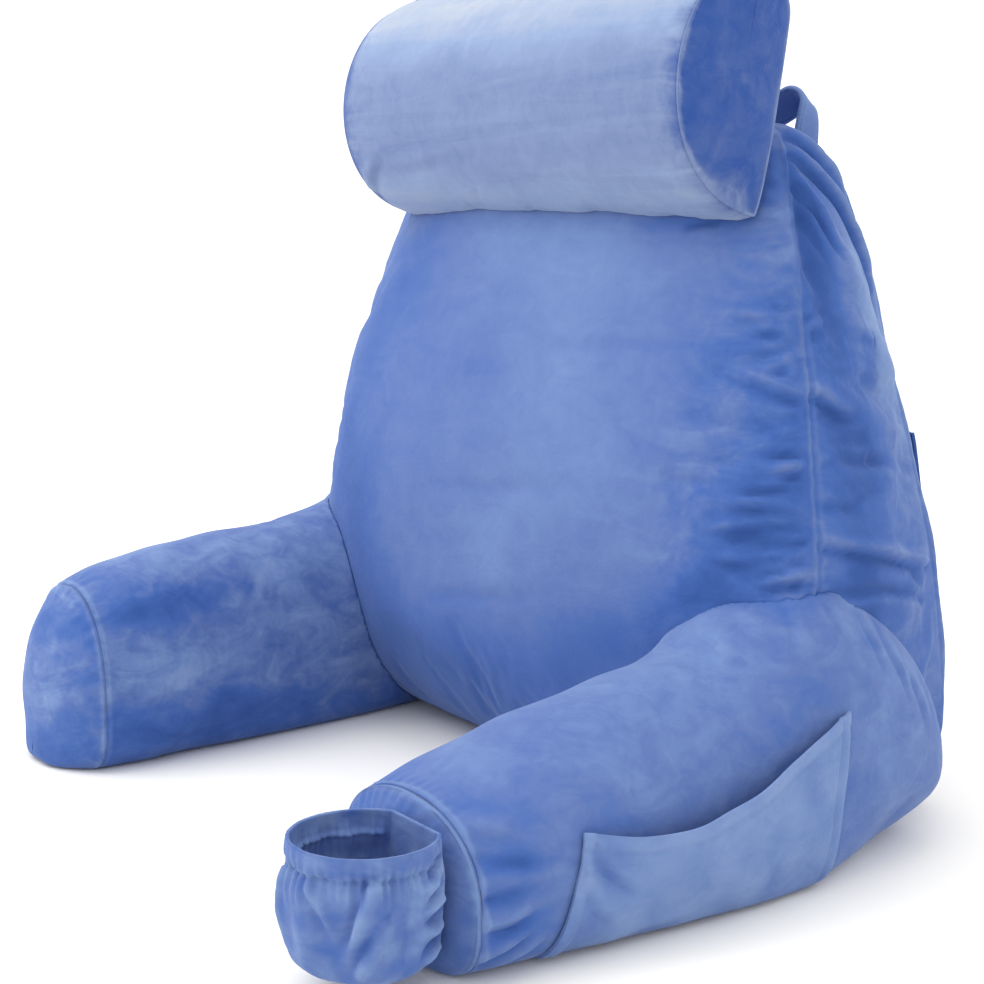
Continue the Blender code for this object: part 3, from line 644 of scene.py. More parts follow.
def make_backrest():
    """Front panel, two gussets and back panel as one stuffed cover, on its flat underside."""
    places, rings = rings_apart(
        lambda z: backrest_ring(row_at(BACK_ROWS, z)), 0.0, BACK_ROWS[-1].z,
        lambda z: 0.0064 - 0.0011 * smooth((z - 0.12) / 0.05) - 0.0009 * smooth((z - 0.38) / 0.04))
    below = [drawn_in(rings[0], share)
             for share in (0.06, 0.16, 0.28, 0.40, 0.52, 0.64, 0.75, 0.84, 0.91, 0.96)]
    above = [drawn_in(rings[-1], share, (BACK_TOP - places[-1]) * (1 - share**2))
             for share in (0.92, 0.80, 0.66, 0.50, 0.34, 0.18, 0.06)]
    grid = np.stack(below + rings + above)
    heights = np.r_[np.zeros(len(below)), places, np.full(len(above), BACK_TOP)]
    tips = (drawn_in(rings[0], 0.0)[0], drawn_in(rings[-1], 0.0, BACK_TOP - places[-1])[0])
    tight = np.zeros(grid.shape[:2])
    for seam in SEAMS:
        for offset, weight in ((-1, 0.5), (0, 1.0), (1, 0.5)):
            tight[:, (seam + offset) % grid.shape[1]] = weight
    move = stuffed("backrest", grid, tips, tight, 0.020, 0.035, 0.0030)
    held = smooth(heights / 0.045) * (1.0 - 0.75 * smooth((heights - 0.340) / 0.060))
    grid = grid + move * held[:, None, None]

    grid = finer(grid)
    rows, count = grid.shape[:2]
    height = np.interp(np.arange(rows), np.arange(0, rows, 2), heights)[:, None] * np.ones(count)
    normal = outward(grid)
    lift = np.zeros((rows, count))
    nap = np.full((rows, count), 0.46)
    columns = {panel: slice(2 * first, 2 * last)
               for panel, first, last in zip(PANELS, SEAMS, SEAMS[1:] + (count // 2,))}
    # each gusset measured back from its front seam
    for side in ("right", "left"):
        part, turn = columns[side], slice(None, None, -1 if side == "left" else 1)
        run, h = measured(grid[:, part][:, turn], 1), height[:, part]
        amount = traced(run, h, GUSSET_CREASES) + traced(run, h, GUSSET_SEAM_CREASES)
        amount *= 1.0 - 0.85 * hump(run, 0.0055)
        # painted light and shade on the gusset: the strokes, and lighter along crease ridges, darker in their
        # troughs
        shade = 0.54 + traced(run, h, GUSSET_STROKES_AND_SHADE, unit=1) + np.clip(1.5 * PAINTED_CREASE_SHADE * amount, -0.50, 0.34)
        amount += 0.0008 * ripple(3 if side == "right" else 4, run, h, 0.07)
        lift[:, part] += amount[:, turn]
        nap[:, part] = shade[:, turn]
    part = columns["front"]
    x, h = grid[:, part, 0], height[:, part]
    inwards = measured(grid[:, part][:, ::-1], 1)[:, ::-1]     # from the right seam
    amount = traced(x, h, FRONT_CREASES) + traced(inwards, h, SEAM_CREASES)
    amount *= 1.0 - 0.85 * hump(inwards, 0.0055)
    lift[:, part] += amount + 0.0007 * ripple(5, x, h, 0.11)
    # painted light and shade on the front: the strokes, and lighter along crease ridges, darker in their
    # troughs
    nap[:, part] = 0.60 + traced(x, h, FRONT_STROKES_AND_SHADE, unit=1) + np.clip(PAINTED_CREASE_SHADE * amount, -0.35, 0.30)
    mottle = np.full((rows, count), 0.55)
    mottle[:, part] = 0.05 + 0.75 * smooth((x - 0.17) / 0.07) + 0.35 * smooth((-x - 0.10) / 0.12)
    part = columns["rear"]
    lift[:, part] += 0.0010 * ripple(6, grid[:, part, 0], height[:, part], 0.10)
    # seams: a narrow double ridge with the covers pulled down on both sides of it, and a painted highlight
    # along the ridges
    for number, seam in enumerate(SEAMS):
        cols = (np.arange(-SEAM_REACH, SEAM_REACH + 1) + 2 * seam) % count
        run = measured(grid[:, cols], 1)
        run -= run[:, SEAM_REACH:SEAM_REACH + 1]
        fell = smooth((0.36 - height[:, cols]) / 0.03) if number < 2 else 1.0
        dip = (-0.0022 if number < 2 else -0.0016) * hump(run, 0.0075)
        cord = hump(run, 0.0017)
        felled = fell * hump(run - 0.0064, 0.0016)
        ridge = 0.0015 * cord + 0.0011 * felled
        # painted highlight: a light line along the cord and the felled ridge
        nap[:, cols] += 0.24 * cord + 0.18 * felled
        pucker = 0.0004 * np.sin(height[:, cols] * 2 * np.pi / 0.013 + 3 * np.sin(height[:, cols] * 41.0))
        pucker *= 1.0 if number < 2 else 0.2
        lift[:, cols] += dip + ridge + pucker * hump(run, 0.010)
    lift *= smooth((height - 0.004) / 0.03) * (1.0 - 0.8 * smooth((height - 0.486) / 0.004))
    grid = grid + normal * lift[:, :, None]
    grid[:, :, 2] = np.maximum(grid[:, :, 2], 0.0)
    grid[height <= 0.0, 2] = 0.0
    return sew("backrest_cover", grid, tips, cover_plush, nap, mottle)


# ---------------------------------------------------------------- the arms and their end panels
def signed_power(value, power):
    return np.sign(value) * np.abs(value) ** power


def arm_section(row, side, cap, share=1.0, y=None):
    """A stuffed tube's section, flat on the floor. A share under 1 shrinks it about its end panel's crown."""
    middle, half = (row.inner + row.outer) / 2, (row.outer - row.inner) / 2
    waist = row.low + (row.top - row.low) * ARM_WAIST
    heart = row.top * cap.heart
    angle = np.linspace(0.0, 2 * np.pi, 721)
    c, s = np.cos(angle), np.sin(angle)
    power = 2 / np.where(s >= 0, ARM_TOP_POWER, row.base)
    reach = np.where(s >= 0, row.top - waist, waist - row.low + ARM_SINK)
    tuck = np.where(c > 0, row.tuck * np.maximum(0.0, -s) ** ARM_TUCK_POWER, 0.0)
    x = half * signed_power(c, power) * (1 - tuck)
    z = np.maximum(0.0, waist + reach * signed_power(s, power)) - heart
    z = np.where(z > 0, z * share, z * share**cap.sag)
    at = np.full_like(x, row.y if y is None else y)
    line = np.column_stack([side * (middle + share * x), at, heart + z])
    return evenly(line, ARM_POINTS)[:-1]


def cap_front(row, share, cap):
    return max(row.y - cap.crown * (1 - share**CAP_POWER), cap.flat)


# Creases and strokes on the arms. The strokes paint the colour darker or lighter, partly the nap's own
# brushing, partly painted light and shade: painted light along the tops, painted shade in lines beside the
# folds at the right arm's front end and along the left arm's foot. The measures run along the arm and up its
# outer side.
ARM_CREASES = {
    1: (
        Crease(((-366, 74), (-340, 69), (-312, 64)), 4.5, -2.4, 0, 0.8),
        Crease(((-372, 52), (-350, 52), (-322, 52)), 4.5, -2.6, 0, 0.8),
        Crease(((-368, 16), (-350, 24), (-325, 36)), 4.5, 2.6, 2.4, 0.8),
        Crease(((-366, 38), (-345, 40), (-325, 46)), 4, 2, 2, 0.8),
        Crease(((-350, 8), (-335, 18), (-320, 26)), 4, 2.4, 2, 0.8),
        Crease(((-364, 88), (-330, 86)), 5, 1.8, 1.4, 0.6),
        Crease(((-136, 170), (-148, 156), (-160, 140)), 4, 0.7, 1),
        Crease(((-122, 178), (-128, 166), (-136, 154)), 3.6, 0.5, 0.8),
        Crease(((-100, 184), (-104, 168), (-112, 150)), 4, 0.6, 0.9),
        Crease(((-75, 185), (-72, 168), (-66, 152)), 3.6, 0.6, 0.8),
        Crease(((-50, 176), (-42, 154), (-36, 130)), 4, 0.8, 1),
        Crease(((-30, 156), (-18, 132), (-10, 105)), 4, 0.8, 1),
        Crease(((-10, 134), (2, 108), (10, 80)), 4, 0.8, 0.9),
    ),
    -1: (
        Crease(((-360, 108), (-320, 114), (-270, 118)), 6, 2, 1.6, 0.6),
        Crease(((-360, 52), (-325, 60), (-290, 64)), 6, 2, 1.6, 0.6),
        Crease(((-352, 90), (-330, 60), (-325, 30)), 6, 1.6, 1.4, 0.3),
    ),
}
ARM_STROKES_AND_SHADE = {
    1: (
        Crease(((-366, 94), (-340, 92), (-310, 88)), 10, -0.22, 0, 0.8),
        Crease(((-366, 68), (-340, 70), (-312, 66)), 5, -0.26, 0, 0.8),
        Crease(((-366, 26), (-340, 32), (-306, 44)), 5, -0.28, 0, 0.8),
        Crease(((-270, 150), (-190, 170), (-130, 182)), 22, 0.2),
        Crease(((-130, 190), (-80, 196), (-45, 190)), 15, -0.2),
        Crease(((-50, 130), (-10, 80)), 50, 0.11, 0, 0.8, 0.8),
    ),
    -1: (
        Crease(((-360, 122), (-320, 126), (-250, 130)), 11, -0.4, 0, 0.8, 0.6),
        Crease(((-360, 82), (-300, 80), (-260, 85)), 26, 0.3, 0, 0.8, 0.6),
        Crease(((-368, 24), (-200, 25)), 24, -0.46, 0, 0.9, 0.6),
        Crease(((-340, 150), (-250, 158)), 10, 0.2, 0, 0.6, 0.6),
    ),
}


def make_arm(name, rows, side, cap):
    first = rows[0]
    behind = CAP_CLOTH + CAP_TOUCH
    dome = [arm_section(first, side, cap, share, cap_front(first, share, cap) + behind)
            for share in reversed(CAP_SHARES)]
    body = rings_apart(lambda y: arm_section(row_at(rows, y), side, cap), first.y + behind, rows[-1].y,
                       lambda y: 0.0050)[1]
    last = body[-1]
    rear = [last.mean(axis=0) + (last - last.mean(axis=0)) * share + np.array((0.0, 0.002 * (1 - share), 0.0))
            for share in (0.85, 0.6, 0.3)]
    grid = np.stack(dome[:-1] + body + rear)
    tips = (np.array((side * (first.inner + first.outer) / 2, cap_front(first, 0.0, cap) + behind,
                      first.top * cap.heart)), rear[-1].mean(axis=0))
    start = len(dome) - 1
    tight = np.zeros(grid.shape[:2])
    tight[start - 1:start + 2] = 0.8
    move = stuffed(name, grid, tips, tight, 0.020, 0.040, 0.0026)
    held = smooth((np.arange(len(grid)) - start - 1) / 8.0)[:, None, None] * smooth(grid[:, :, 2:3] / 0.03)
    grid = finer(grid + move * held)
    along, height = grid[:, :, 1], grid[:, :, 2]
    normal = outward(grid)
    outer = smooth((side * normal[:, :, 0] + 0.1) / 0.4)
    lift = traced(along, height, ARM_CREASES[side]) * outer * 1.6
    # painted light and shade: the strokes, and lighter along crease ridges, darker in their troughs
    nap = 0.56 + traced(along, height, ARM_STROKES_AND_SHADE[side], unit=1) + np.clip(PAINTED_CREASE_SHADE * lift, -0.30, 0.30)
    lift += 0.0008 * ripple(11 + side, along, height + grid[:, :, 0], 0.08)
    back = along - along[2 * start:2 * start + 1]
    lift += -0.0005 * hump(back, 0.009) * (back > -0.001)
    cord = hump(back - 0.0016, 0.0018)
    lift += 0.0004 * cord
    angle = np.linspace(0, 2 * np.pi, grid.shape[1], endpoint=False)[None, :]
    lift += 0.0004 * np.sin(angle * 46 + 2 * np.sin(angle * 5)) * hump(back - 0.004, 0.009)
    lift *= smooth(height / 0.02)
    lift[:2 * start + 1] = 0.0
    grid = grid + normal * lift[:, :, None]
    grid[:, :, 2] = np.maximum(grid[:, :, 2], 0.0)
    # painted light: lighter where the cover faces up, and a painted highlight along the seam cord
    nap += 0.10 * smooth((normal[:, :, 2] - 0.2) / 0.6) + 0.28 * cord
    return sew(name + "_cover", grid, tips, cover_plush, nap, 0.35 if side > 0 else 1.0)


# Strokes on the end panels: partly the nap's own brushing, and on the left panel painted shade along its foot
CAP_STROKES_AND_SHADE = {
    1: (Crease(((200, 65), (240, 70)), 25, -0.1), Crease(((290, 40), (310, 30)), 20, -0.16)),
    -1: (Crease(((-260, 100), (-180, 110)), 20, -0.26, 0, 0.8, 0.8),
         Crease(((-200, 90), (-192, 50)), 18, 0.12, 0, 0.8, 0.8),
         Crease(((-280, 18), (-170, 16)), 18, -0.28, 0, 0.8, 0.8)),
}


def folded(face, inside, run):
    """An end panel's face out to its seam and then its back, with their tips and how far in each ring is."""
    tips = (face[-1].mean(axis=0), inside[-1].mean(axis=0))
    return np.concatenate([face[::-1], inside[1:]]), tips, np.concatenate([run[::-1], run[1:]])


def make_cap(name, rows, side, cap):
    first = rows[0]
    face = finer(np.stack([arm_section(first, side, cap, share, cap_front(first, share, cap))
                           for share in CAP_SHARES]))
    run = measured(face, 0)
    normal = outward(face)
    if normal[len(normal) // 2, :, 1].mean() > 0:
        normal = -normal
    angle = np.linspace(0, 2 * np.pi, face.shape[1], endpoint=False)[None, :]
    room = smooth((face[:, :, 1] - cap.flat) / 0.004)
    lift = -0.0005 * hump(run, 0.009) + 0.0007 * ripple(21 + side, face[:, :, 0], face[:, :, 2], 0.045)
    lift += 0.0004 * np.sin(angle * 34 + 2 * np.sin(angle * 3)) * hump(run - 0.004, 0.009)
    lift *= room * smooth(run / 0.0015) * smooth(face[:, :, 2] / 0.012)
    face = face + normal * lift[:, :, None]
    face[:, :, 2] = np.maximum(face[:, :, 2], 0.0)
    face[:, :, 1] = np.maximum(face[:, :, 1], cap.flat)
    inside = face.copy()
    inside[:, :, 1] += CAP_CLOTH + 0.0003 * hump(run, 0.004)
    grid, tips, edge = folded(face, inside, run)
    nap = (0.54 if side > 0 else 0.60) + traced(grid[:, :, 0], grid[:, :, 2], CAP_STROKES_AND_SHADE[side], unit=1)
    # painted highlight: a light line along the seam edge
    nap += 0.24 * hump(edge, 0.0030)
    return sew(name + "_panel", grid, tips, cover_plush, nap, 0.40 if side > 0 else 1.0), area_of(face)


# ---------------------------------------------------------------- the neck roll
def roll_section(scale):
    """The half-moon section: front arc upwards, then its flat rear downwards. Columns are y and z."""
    up = np.array((math.sin(ROLL_LEAN), math.cos(ROLL_LEAN)))
    forward = np.array((-math.cos(ROLL_LEAN), math.sin(ROLL_LEAN)))
    half = ROLL_HEIGHT / 2
    centre = ROLL_FOOT[1:] + up * half
    shoulder = half * (2 * ROLL_SHOULDER - 1)

    def rear(u):
        over = np.maximum(0.0, (u - shoulder) / (half - shoulder))
        return ROLL_SHOULDER_DROP * over**2 - ROLL_REAR_BULGE * bulge(u / half) * (1 - over)

    angle = np.linspace(-np.pi / 2, np.pi / 2, 181)
    u = half * np.sin(angle)
    front = np.maximum(ROLL_DEPTH * np.cos(angle) ** 0.9, rear(u))
    arc = evenly(np.column_stack([u, front]), ROLL_FRONT_STEPS)
    flat = evenly(np.column_stack([u[::-1], rear(u[::-1])]), ROLL_REAR_STEPS)
    line = np.vstack([arc[:-1], flat[:-1]]) * scale
    return centre + line[:, :1] * up + line[:, 1:] * forward


RollRow = namedtuple("RollRow", "x scale")
ROLL_ROWS = (
    RollRow(-ROLL_HALF, 0.960), RollRow(-0.196, 0.990), RollRow(-0.150, 1.004), RollRow(-0.050, 1.000),
    RollRow(0.050, 1.004), RollRow(0.150, 1.002), RollRow(0.196, 0.988), RollRow(ROLL_HALF, 0.958),
)
ROLL_END_SHARES = (1.0, 0.985, 0.965, 0.94, 0.905, 0.86, 0.80, 0.73, 0.65, 0.56, 0.46, 0.35, 0.23, 0.10)
ROLL_CREASES = (
    Crease(((-204, 446), (-185, 458), (-150, 476)), 5, 2.4, 2, 0.8),
    Crease(((-150, 462), (-60, 470)), 6, 1.2, 1),
    Crease(((205, 446), (150, 452)), 5, 1.2, 1, 0.8),
)


def roll_ring(x, scale):
    flat = roll_section(scale)
    return np.column_stack([np.full(len(flat), x), flat])


def roll_end(side, back):
    ring = roll_ring(side * ROLL_HALF, ROLL_ROWS[-1].scale if side > 0 else ROLL_ROWS[0].scale)
    heart = ring.mean(axis=0)
    rings = []
    for share in ROLL_END_SHARES:
        out = ROLL_END_CROWN * (1 - share**2) - back
        rings.append(heart + (ring - heart) * share + np.array((side * out, 0.0, 0.0)))
    return np.stack(rings), heart + np.array((side * (ROLL_END_CROWN - back), 0.0, 0.0))


def make_neck_roll():
    depth = CLOTH + TOUCH
    left, left_tip = roll_end(-1, depth)
    right, right_tip = roll_end(1, depth)
    places = np.linspace(-ROLL_HALF + depth + 0.003, ROLL_HALF - depth - 0.003, 74)
    body = [roll_ring(x, row_at(ROLL_ROWS, x).scale) for x in places]
    grid = np.concatenate([left[::-1], np.stack(body), right])
    start = len(left)
    tight = np.zeros(grid.shape[:2])
    tight[start - 1:start + 1] = tight[-start - 1:-start + 1] = 0.8
    tight[:, 0] = tight[:, ROLL_FRONT_STEPS] = 0.5
    move = stuffed("neck_roll", grid, (left_tip, right_tip), tight, 0.015, 0.030, 0.0009)
    steps = np.arange(len(grid))
    held = smooth((np.minimum(steps, len(grid) - 1 - steps) - start) / 6.0)[:, None, None]
    grid = finer(grid + move * held)
    start = 2 * start
    x, z = grid[:, :, 0], grid[:, :, 2]
    normal = outward(grid)
    front = smooth((-normal[:, :, 1] + 0.2) / 0.4)
    lift = (traced(x, z, ROLL_CREASES) + 0.0004 * ripple(31, x * 0.5, z, 0.05)) * front
    for end, sign in ((x[start:start + 1], 1.0), (x[-start - 1:-start], -1.0)):
        run = (x - end) * sign
        lift += -0.0003 * hump(run, 0.008) * (run > -0.002)
    lift[:start], lift[-start:] = 0.0, 0.0
    grid = grid + normal * lift[:, :, None]
    # painted light: lighter over the top where the light falls, and lighter again low down; darker along the
    # end seams
    nap = 0.42 + 0.45 * smooth((z - 0.510) / 0.085) + 0.20 * smooth((0.475 - z) / 0.045)
    nap -= 0.24 * hump(ROLL_HALF - np.abs(x), 0.009)
    mottle = 0.10 + 0.70 * hump(ROLL_HALF - np.abs(x), 0.020)
    return sew("neck_roll_cover", grid, (left_tip, right_tip), roll_plush, nap, mottle)


def make_roll_end(name, side):
    face = finer(roll_end(side, 0.0)[0])
    run = measured(face, 0)
    lift = -0.0004 * hump(run, 0.007) + 0.0006 * ripple(41 + side, face[:, :, 1], face[:, :, 2], 0.04)
    lift *= smooth(run / 0.002)
    face[:, :, 0] += side * lift
    inside = face.copy()
    inside[:, :, 0] -= side * CLOTH
    grid, tips, edge = folded(face, inside, run)
    # painted highlight: a frayed light line along the curved front, on the lowest tip and at the rear, where
    # the nap catches the light
    column = np.arange(grid.shape[1])
    curved = smooth(column / 6.0) * smooth((2 * ROLL_FRONT_STEPS - column) / 20.0)
    width = (0.0026 + 0.0160 * hump(column - 3.0, 15.0)) * (1.0 + 0.12 * ripple(
        43, grid[:, :, 1], grid[:, :, 2], 0.020))
    nap = 0.03 + 0.28 * curved * smooth(1.35 - edge / width) + 0.42 * (1 - curved) * hump(edge, 0.0028)
    nap += 0.04 * smooth((0.480 - grid[:, :, 2]) / 0.05)
    mottle = 0.16 + 0.80 * curved * hump(edge / width - 0.85, 0.55)
    return sew(name + "_panel", grid, tips, roll_plush, nap, mottle), area_of(face)


# ---------------------------------------------------------------- strap, pockets and pouch
def make_handle():
    """A strap folded and stitched along both edges, slack over the top."""
    stops = [(-p.x, p.z, p.turn) for p in HANDLE_LINE] + [tuple(p) for p in HANDLE_LINE[-2::-1]]
    line = evenly(curve(stops, 900) * (1.0, 1.0, 1e-5), 460)
    turn = np.radians(line[:, 2] * 1e5)
    line = line[:, :2]
    along = np.gradient(line, axis=0)
    along /= np.linalg.norm(along, axis=1, keepdims=True)
    half, thick = HANDLE_WIDTH / 2, HANDLE_THICK / 2
    half_across = np.array((0.4, 0.64, 0.74, 0.80, 0.86, 0.92, 0.97, 1.0))
    across = np.r_[-half_across[::-1], 0.0, half_across]
    groove = hump(np.abs(across) - 0.80, 0.035)
    run = np.r_[0.0, np.cumsum(np.linalg.norm(np.diff(line, axis=0), axis=1))]
    thread = 0.5 + 0.5 * np.cos(run * 2 * np.pi / 0.0032)
    under = slice(-2, 0, -1)
    rings = []
    for k in range(len(line)):
        body = thick * (1.0 - np.abs(across) ** 10) ** 0.5 * (1.0 - 0.42 * groove * (1 - 0.55 * thread[k]))
        profile = np.column_stack([np.r_[across, across[under]] * half, np.r_[body, -body[under]]])
        normal, across_y = np.array((-along[k, 1], 0.0, along[k, 0])), np.array((0.0, 1.0, 0.0))
        c, s = math.cos(turn[k]), math.sin(turn[k])
        middle = np.array((line[k, 0], HANDLE_Y + 0.0010 * math.sin(run[k] * 17.0), line[k, 1]))
        rings.append(middle + profile[:, :1] * (across_y * c - normal * s)
                     + profile[:, 1:] * (normal * c + across_y * s))
    grid = np.stack(rings)
    nap = 0.66 + 0.24 * np.abs(np.r_[across, across[under]]) ** 3 * np.ones(grid.shape[:2])
    tips = (grid[0].mean(axis=0), grid[-1].mean(axis=0))
    return sew("carry_handle_strap", grid, tips, cover_plush, nap), float(run[-1])


def sheet_skin(name, top, normal, nap, mottle):
    """A closed sheet of plush: its outer face, its inner face one thickness below, and its edges."""
    rows, count = top.shape[:2]
    layers = np.concatenate([top.reshape(-1, 3), (top - normal * CLOTH).reshape(-1, 3)])
    index = np.arange(rows * count).reshape(rows, count)
    below = index + rows * count
    faces = []
    for level, turn in ((index, 1), (below, -1)):
        quads = np.stack([level[:-1, :-1], level[:-1, 1:], level[1:, 1:], level[1:, :-1]], axis=-1)
        faces += [tuple(q[::turn]) for q in quads.reshape(-1, 4).tolist()]
    rim = [(0, j) for j in range(count)] + [(i, count - 1) for i in range(1, rows)]
    rim += [(rows - 1, j) for j in range(count - 2, -1, -1)] + [(i, 0) for i in range(rows - 2, 0, -1)]
    for (i, j), (k, l) in zip(rim, rim[1:] + rim[:1]):
        faces.append((int(index[k, l]), int(index[i, j]), int(below[i, j]), int(below[k, l])))
    paint = {"nap": np.r_[nap.ravel(), nap.ravel()], "mottle": np.full(2 * nap.size, mottle)}
    return cloth_object(name, layers, faces, cover_plush, paint, 60.0)


def make_tablet_pocket(arm_skin):
    """Lies on the arm at its sewn edges and stands off it along the hemmed mouth."""
    front, rear = POCKET_ROWS[0].y, POCKET_ROWS[-1].y
    inwards = Vector((-1.0, 0.0, 0.0))
    across, up = 150, 64
    grid = np.empty((up + 1, across + 1, 3))
    for i in range(across + 1):
        u = i / across
        row = row_at(POCKET_ROWS, front + (rear - front) * u)
        for j in range(up + 1):
            v = j / up
            z = POCKET_FLOOR + (row.mouth - POCKET_FLOOR) * v
            y = row.y - (POCKET_FLARE * (1 - u) + POCKET_REAR_SLANT * u) * (1 - v)
            hit = arm_skin.ray_cast(Vector((1.0, y, z)), inwards)[0]
            off = POCKET_OFF + max(0.0, row.gape) * max(v, 1e-9) ** POCKET_SLACK + CLOTH
            grid[j, i] = hit.x + off, y, z
    u = np.linspace(0, 1, across + 1)[None, :] * np.ones((up + 1, 1))
    v = np.linspace(0, 1, up + 1)[:, None] * np.ones((1, across + 1))
    normal = outward(grid, wrap=False)
    if normal[:, :, 0].mean() < 0:
        normal = -normal
    width = np.linalg.norm(grid[0, -1] - grid[0, 0])
    mouth = (1 - v) * (grid[-1:, :, 2] - POCKET_FLOOR)      # distance below the mouth
    lead, trail = u * width, (1 - u) * width
    hem = 0.0006 * smooth((0.0095 - mouth) / 0.003) - 0.0005 * hump(mouth - 0.0100, 0.0014)
    edges = -0.0010 * hump(trail - 0.009, 0.0013) + 0.0008 * hump(trail - 0.004, 0.003)
    edges += 0.0018 * hump(lead - 0.005, 0.0030)
    slack = 0.0011 * ripple(51, grid[:, :, 1], grid[:, :, 2], 0.06) * smooth(np.minimum(lead, trail) / 0.03)
    folds = traced(lead, grid[:, :, 2], (
        Crease(((12, 68), (30, 52), (50, 42)), 4, 1.8, 1.6, 0.8),
        Crease(((8, 52), (22, 36), (45, 20)), 4, 1.6, 1.4, 0.8),
        Crease(((40, 12), (110, 16)), 4, 1.2, 1),
    ))
    lift = (hem + edges + slack + folds) * smooth(v / 0.06)
    top = grid + normal * lift[:, :, None]
    # painted highlights along the hem and the front edge's ridge, painted light and shade across the folds;
    # darker towards the rear edge, just behind the front edge and towards the floor
    nap = 0.88 + 0.06 * ripple(52, grid[:, :, 1], grid[:, :, 2], 0.05)
    nap += 0.10 * smooth((0.010 - mouth) / 0.004)
    nap += 0.10 * hump(lead - 0.004, 0.003) - 0.10 * smooth((0.120 - trail) / 0.100)
    nap += PAINTED_CREASE_SHADE * folds - 0.22 * hump(lead - 0.014, 0.018)
    nap -= 0.12 * smooth((0.030 - grid[:, :, 2]) / 0.030)
    return sheet_skin("tablet_pocket_cloth", top, normal, nap, 0.25)


def pouch_ring(row, inset, count):
    angle = np.linspace(0, 2 * np.pi, count, endpoint=False)
    wave = sum(share * np.cos(number * angle + turn) for number, share, turn in POUCH_FOLDS)
    gathers = np.cos(POUCH_GATHERS * angle + 0.5 * np.sin(3 * angle))
    gathers += 0.35 * np.cos(2.6 * POUCH_GATHERS * angle)
    radius = row.radius + row.fold * wave + row.gather * gathers - inset
    y = np.minimum(POUCH_Y + radius * np.sin(angle), POUCH_BACK - inset)
    return np.column_stack([POUCH_X + radius * np.cos(angle), y, np.full(count, row.z)])


def make_cup_pouch():
    """A cloth cup, its rim drawn in by elastic, pressed flat against the arm's end panel."""
    count, levels = 224, 74
    floor, rim = POUCH_ROWS[0].z, POUCH_ROWS[-1].z
    heights = np.r_[floor, floor + 0.0002, POUCH_ROWS[1].z, np.linspace(floor, rim, levels)[1:]]
    outside = np.stack([pouch_ring(row_at(POUCH_ROWS, z), 0.0, count) for z in heights])
    inside = np.stack([pouch_ring(row_at(POUCH_ROWS, z)._replace(z=max(z, floor + CLOTH)), CLOTH, count)
                       for z in heights[:0:-1]])
    angle = np.linspace(0, 2 * np.pi, count, endpoint=False)[None, :]
    girth = angle * POUCH_GIRTH
    z = outside[:, :, 2]
    away = smooth((POUCH_BACK - outside[:, :, 1] - 0.001) / 0.006)
    band = 0.0009 * smooth((z - rim + 0.0125) / 0.0015) - 0.0012 * hump(z - rim + 0.0135, 0.0012)
    gathers = 0.0008 * np.cos(46 * angle + 4 * np.sin(2 * angle)) * hump(z - rim + 0.0150, 0.010)
    drape = 1.5 * traced(girth * np.ones_like(z), z, (
        Crease(((185, 72), (178, 18)), 3, 2.6, 2, 0.6),
        Crease(((166, 60), (160, 14)), 3, 2.8, 2.2, 0.4),
        Crease(((150, 56), (150, 12)), 3, 2.4, 2, 0.4),
        Crease(((252, 74), (236, 30)), 3.5, 2.8, 2.2, 0.8),
        Crease(((258, 52), (240, 16)), 3.5, 2.6, 2.2, 0.6),
        Crease(((214, 70), (232, 40)), 3.5, 1.4, 1.2, 0.6),
        Crease(((40, 74), (26, 71), (10, 64)), 3.4, 2.6, 2.6, 0.9),
        Crease(((40, 60), (28, 55), (12, 52)), 3.4, 3, 2.8, 0.9),
        Crease(((40, 44), (26, 40), (6, 43)), 3.4, 2.8, 2.6, 0.9),
        Crease(((40, 28), (26, 27), (10, 20)), 3.4, 2.8, 2.6, 0.9),
    ))
    away = away * smooth((z - 0.0138) / 0.010)
    waves = 0.0008 * ripple(61, girth * np.ones_like(z), z, 0.035) * smooth((rim - z) / 0.02)
    lift = (band + gathers + drape + waves) * away
    normal = outward(outside)
    moved = outside + normal * lift[:, :, None]
    moved[:, :, 1] = np.minimum(moved[:, :, 1], POUCH_BACK)
    shift = (moved - outside)[:0:-1]
    shift[:, :, 2] = 0.0
    inner = inside + shift * smooth((inside[:, :, 2:3] - 0.0160) / 0.010)
    inner[:, :, 1] = np.minimum(inner[:, :, 1], POUCH_BACK - CLOTH)
    grid = np.concatenate([moved, inner])
    tips = [np.array((POUCH_X, POUCH_Y, floor + up)) for up in (0.0, CLOTH)]
    # darker low down and over the elastic band at the rim; painted light and shade across the creases and
    # gathers
    nap = 0.70 + 0.10 * ripple(62, girth * np.ones(grid.shape[:2]), grid[:, :, 2], 0.03)
    nap -= 0.16 * smooth((0.060 - grid[:, :, 2]) / 0.030)
    nap[:len(drape)] += np.clip(PAINTED_CREASE_SHADE * (drape + gathers), -0.30, 0.25)
    nap -= 0.06 * smooth((grid[:, :, 2] - rim + 0.012) / 0.003)
    return sew("cup_pouch_cloth", grid, tips, cover_plush, nap, 0.60)


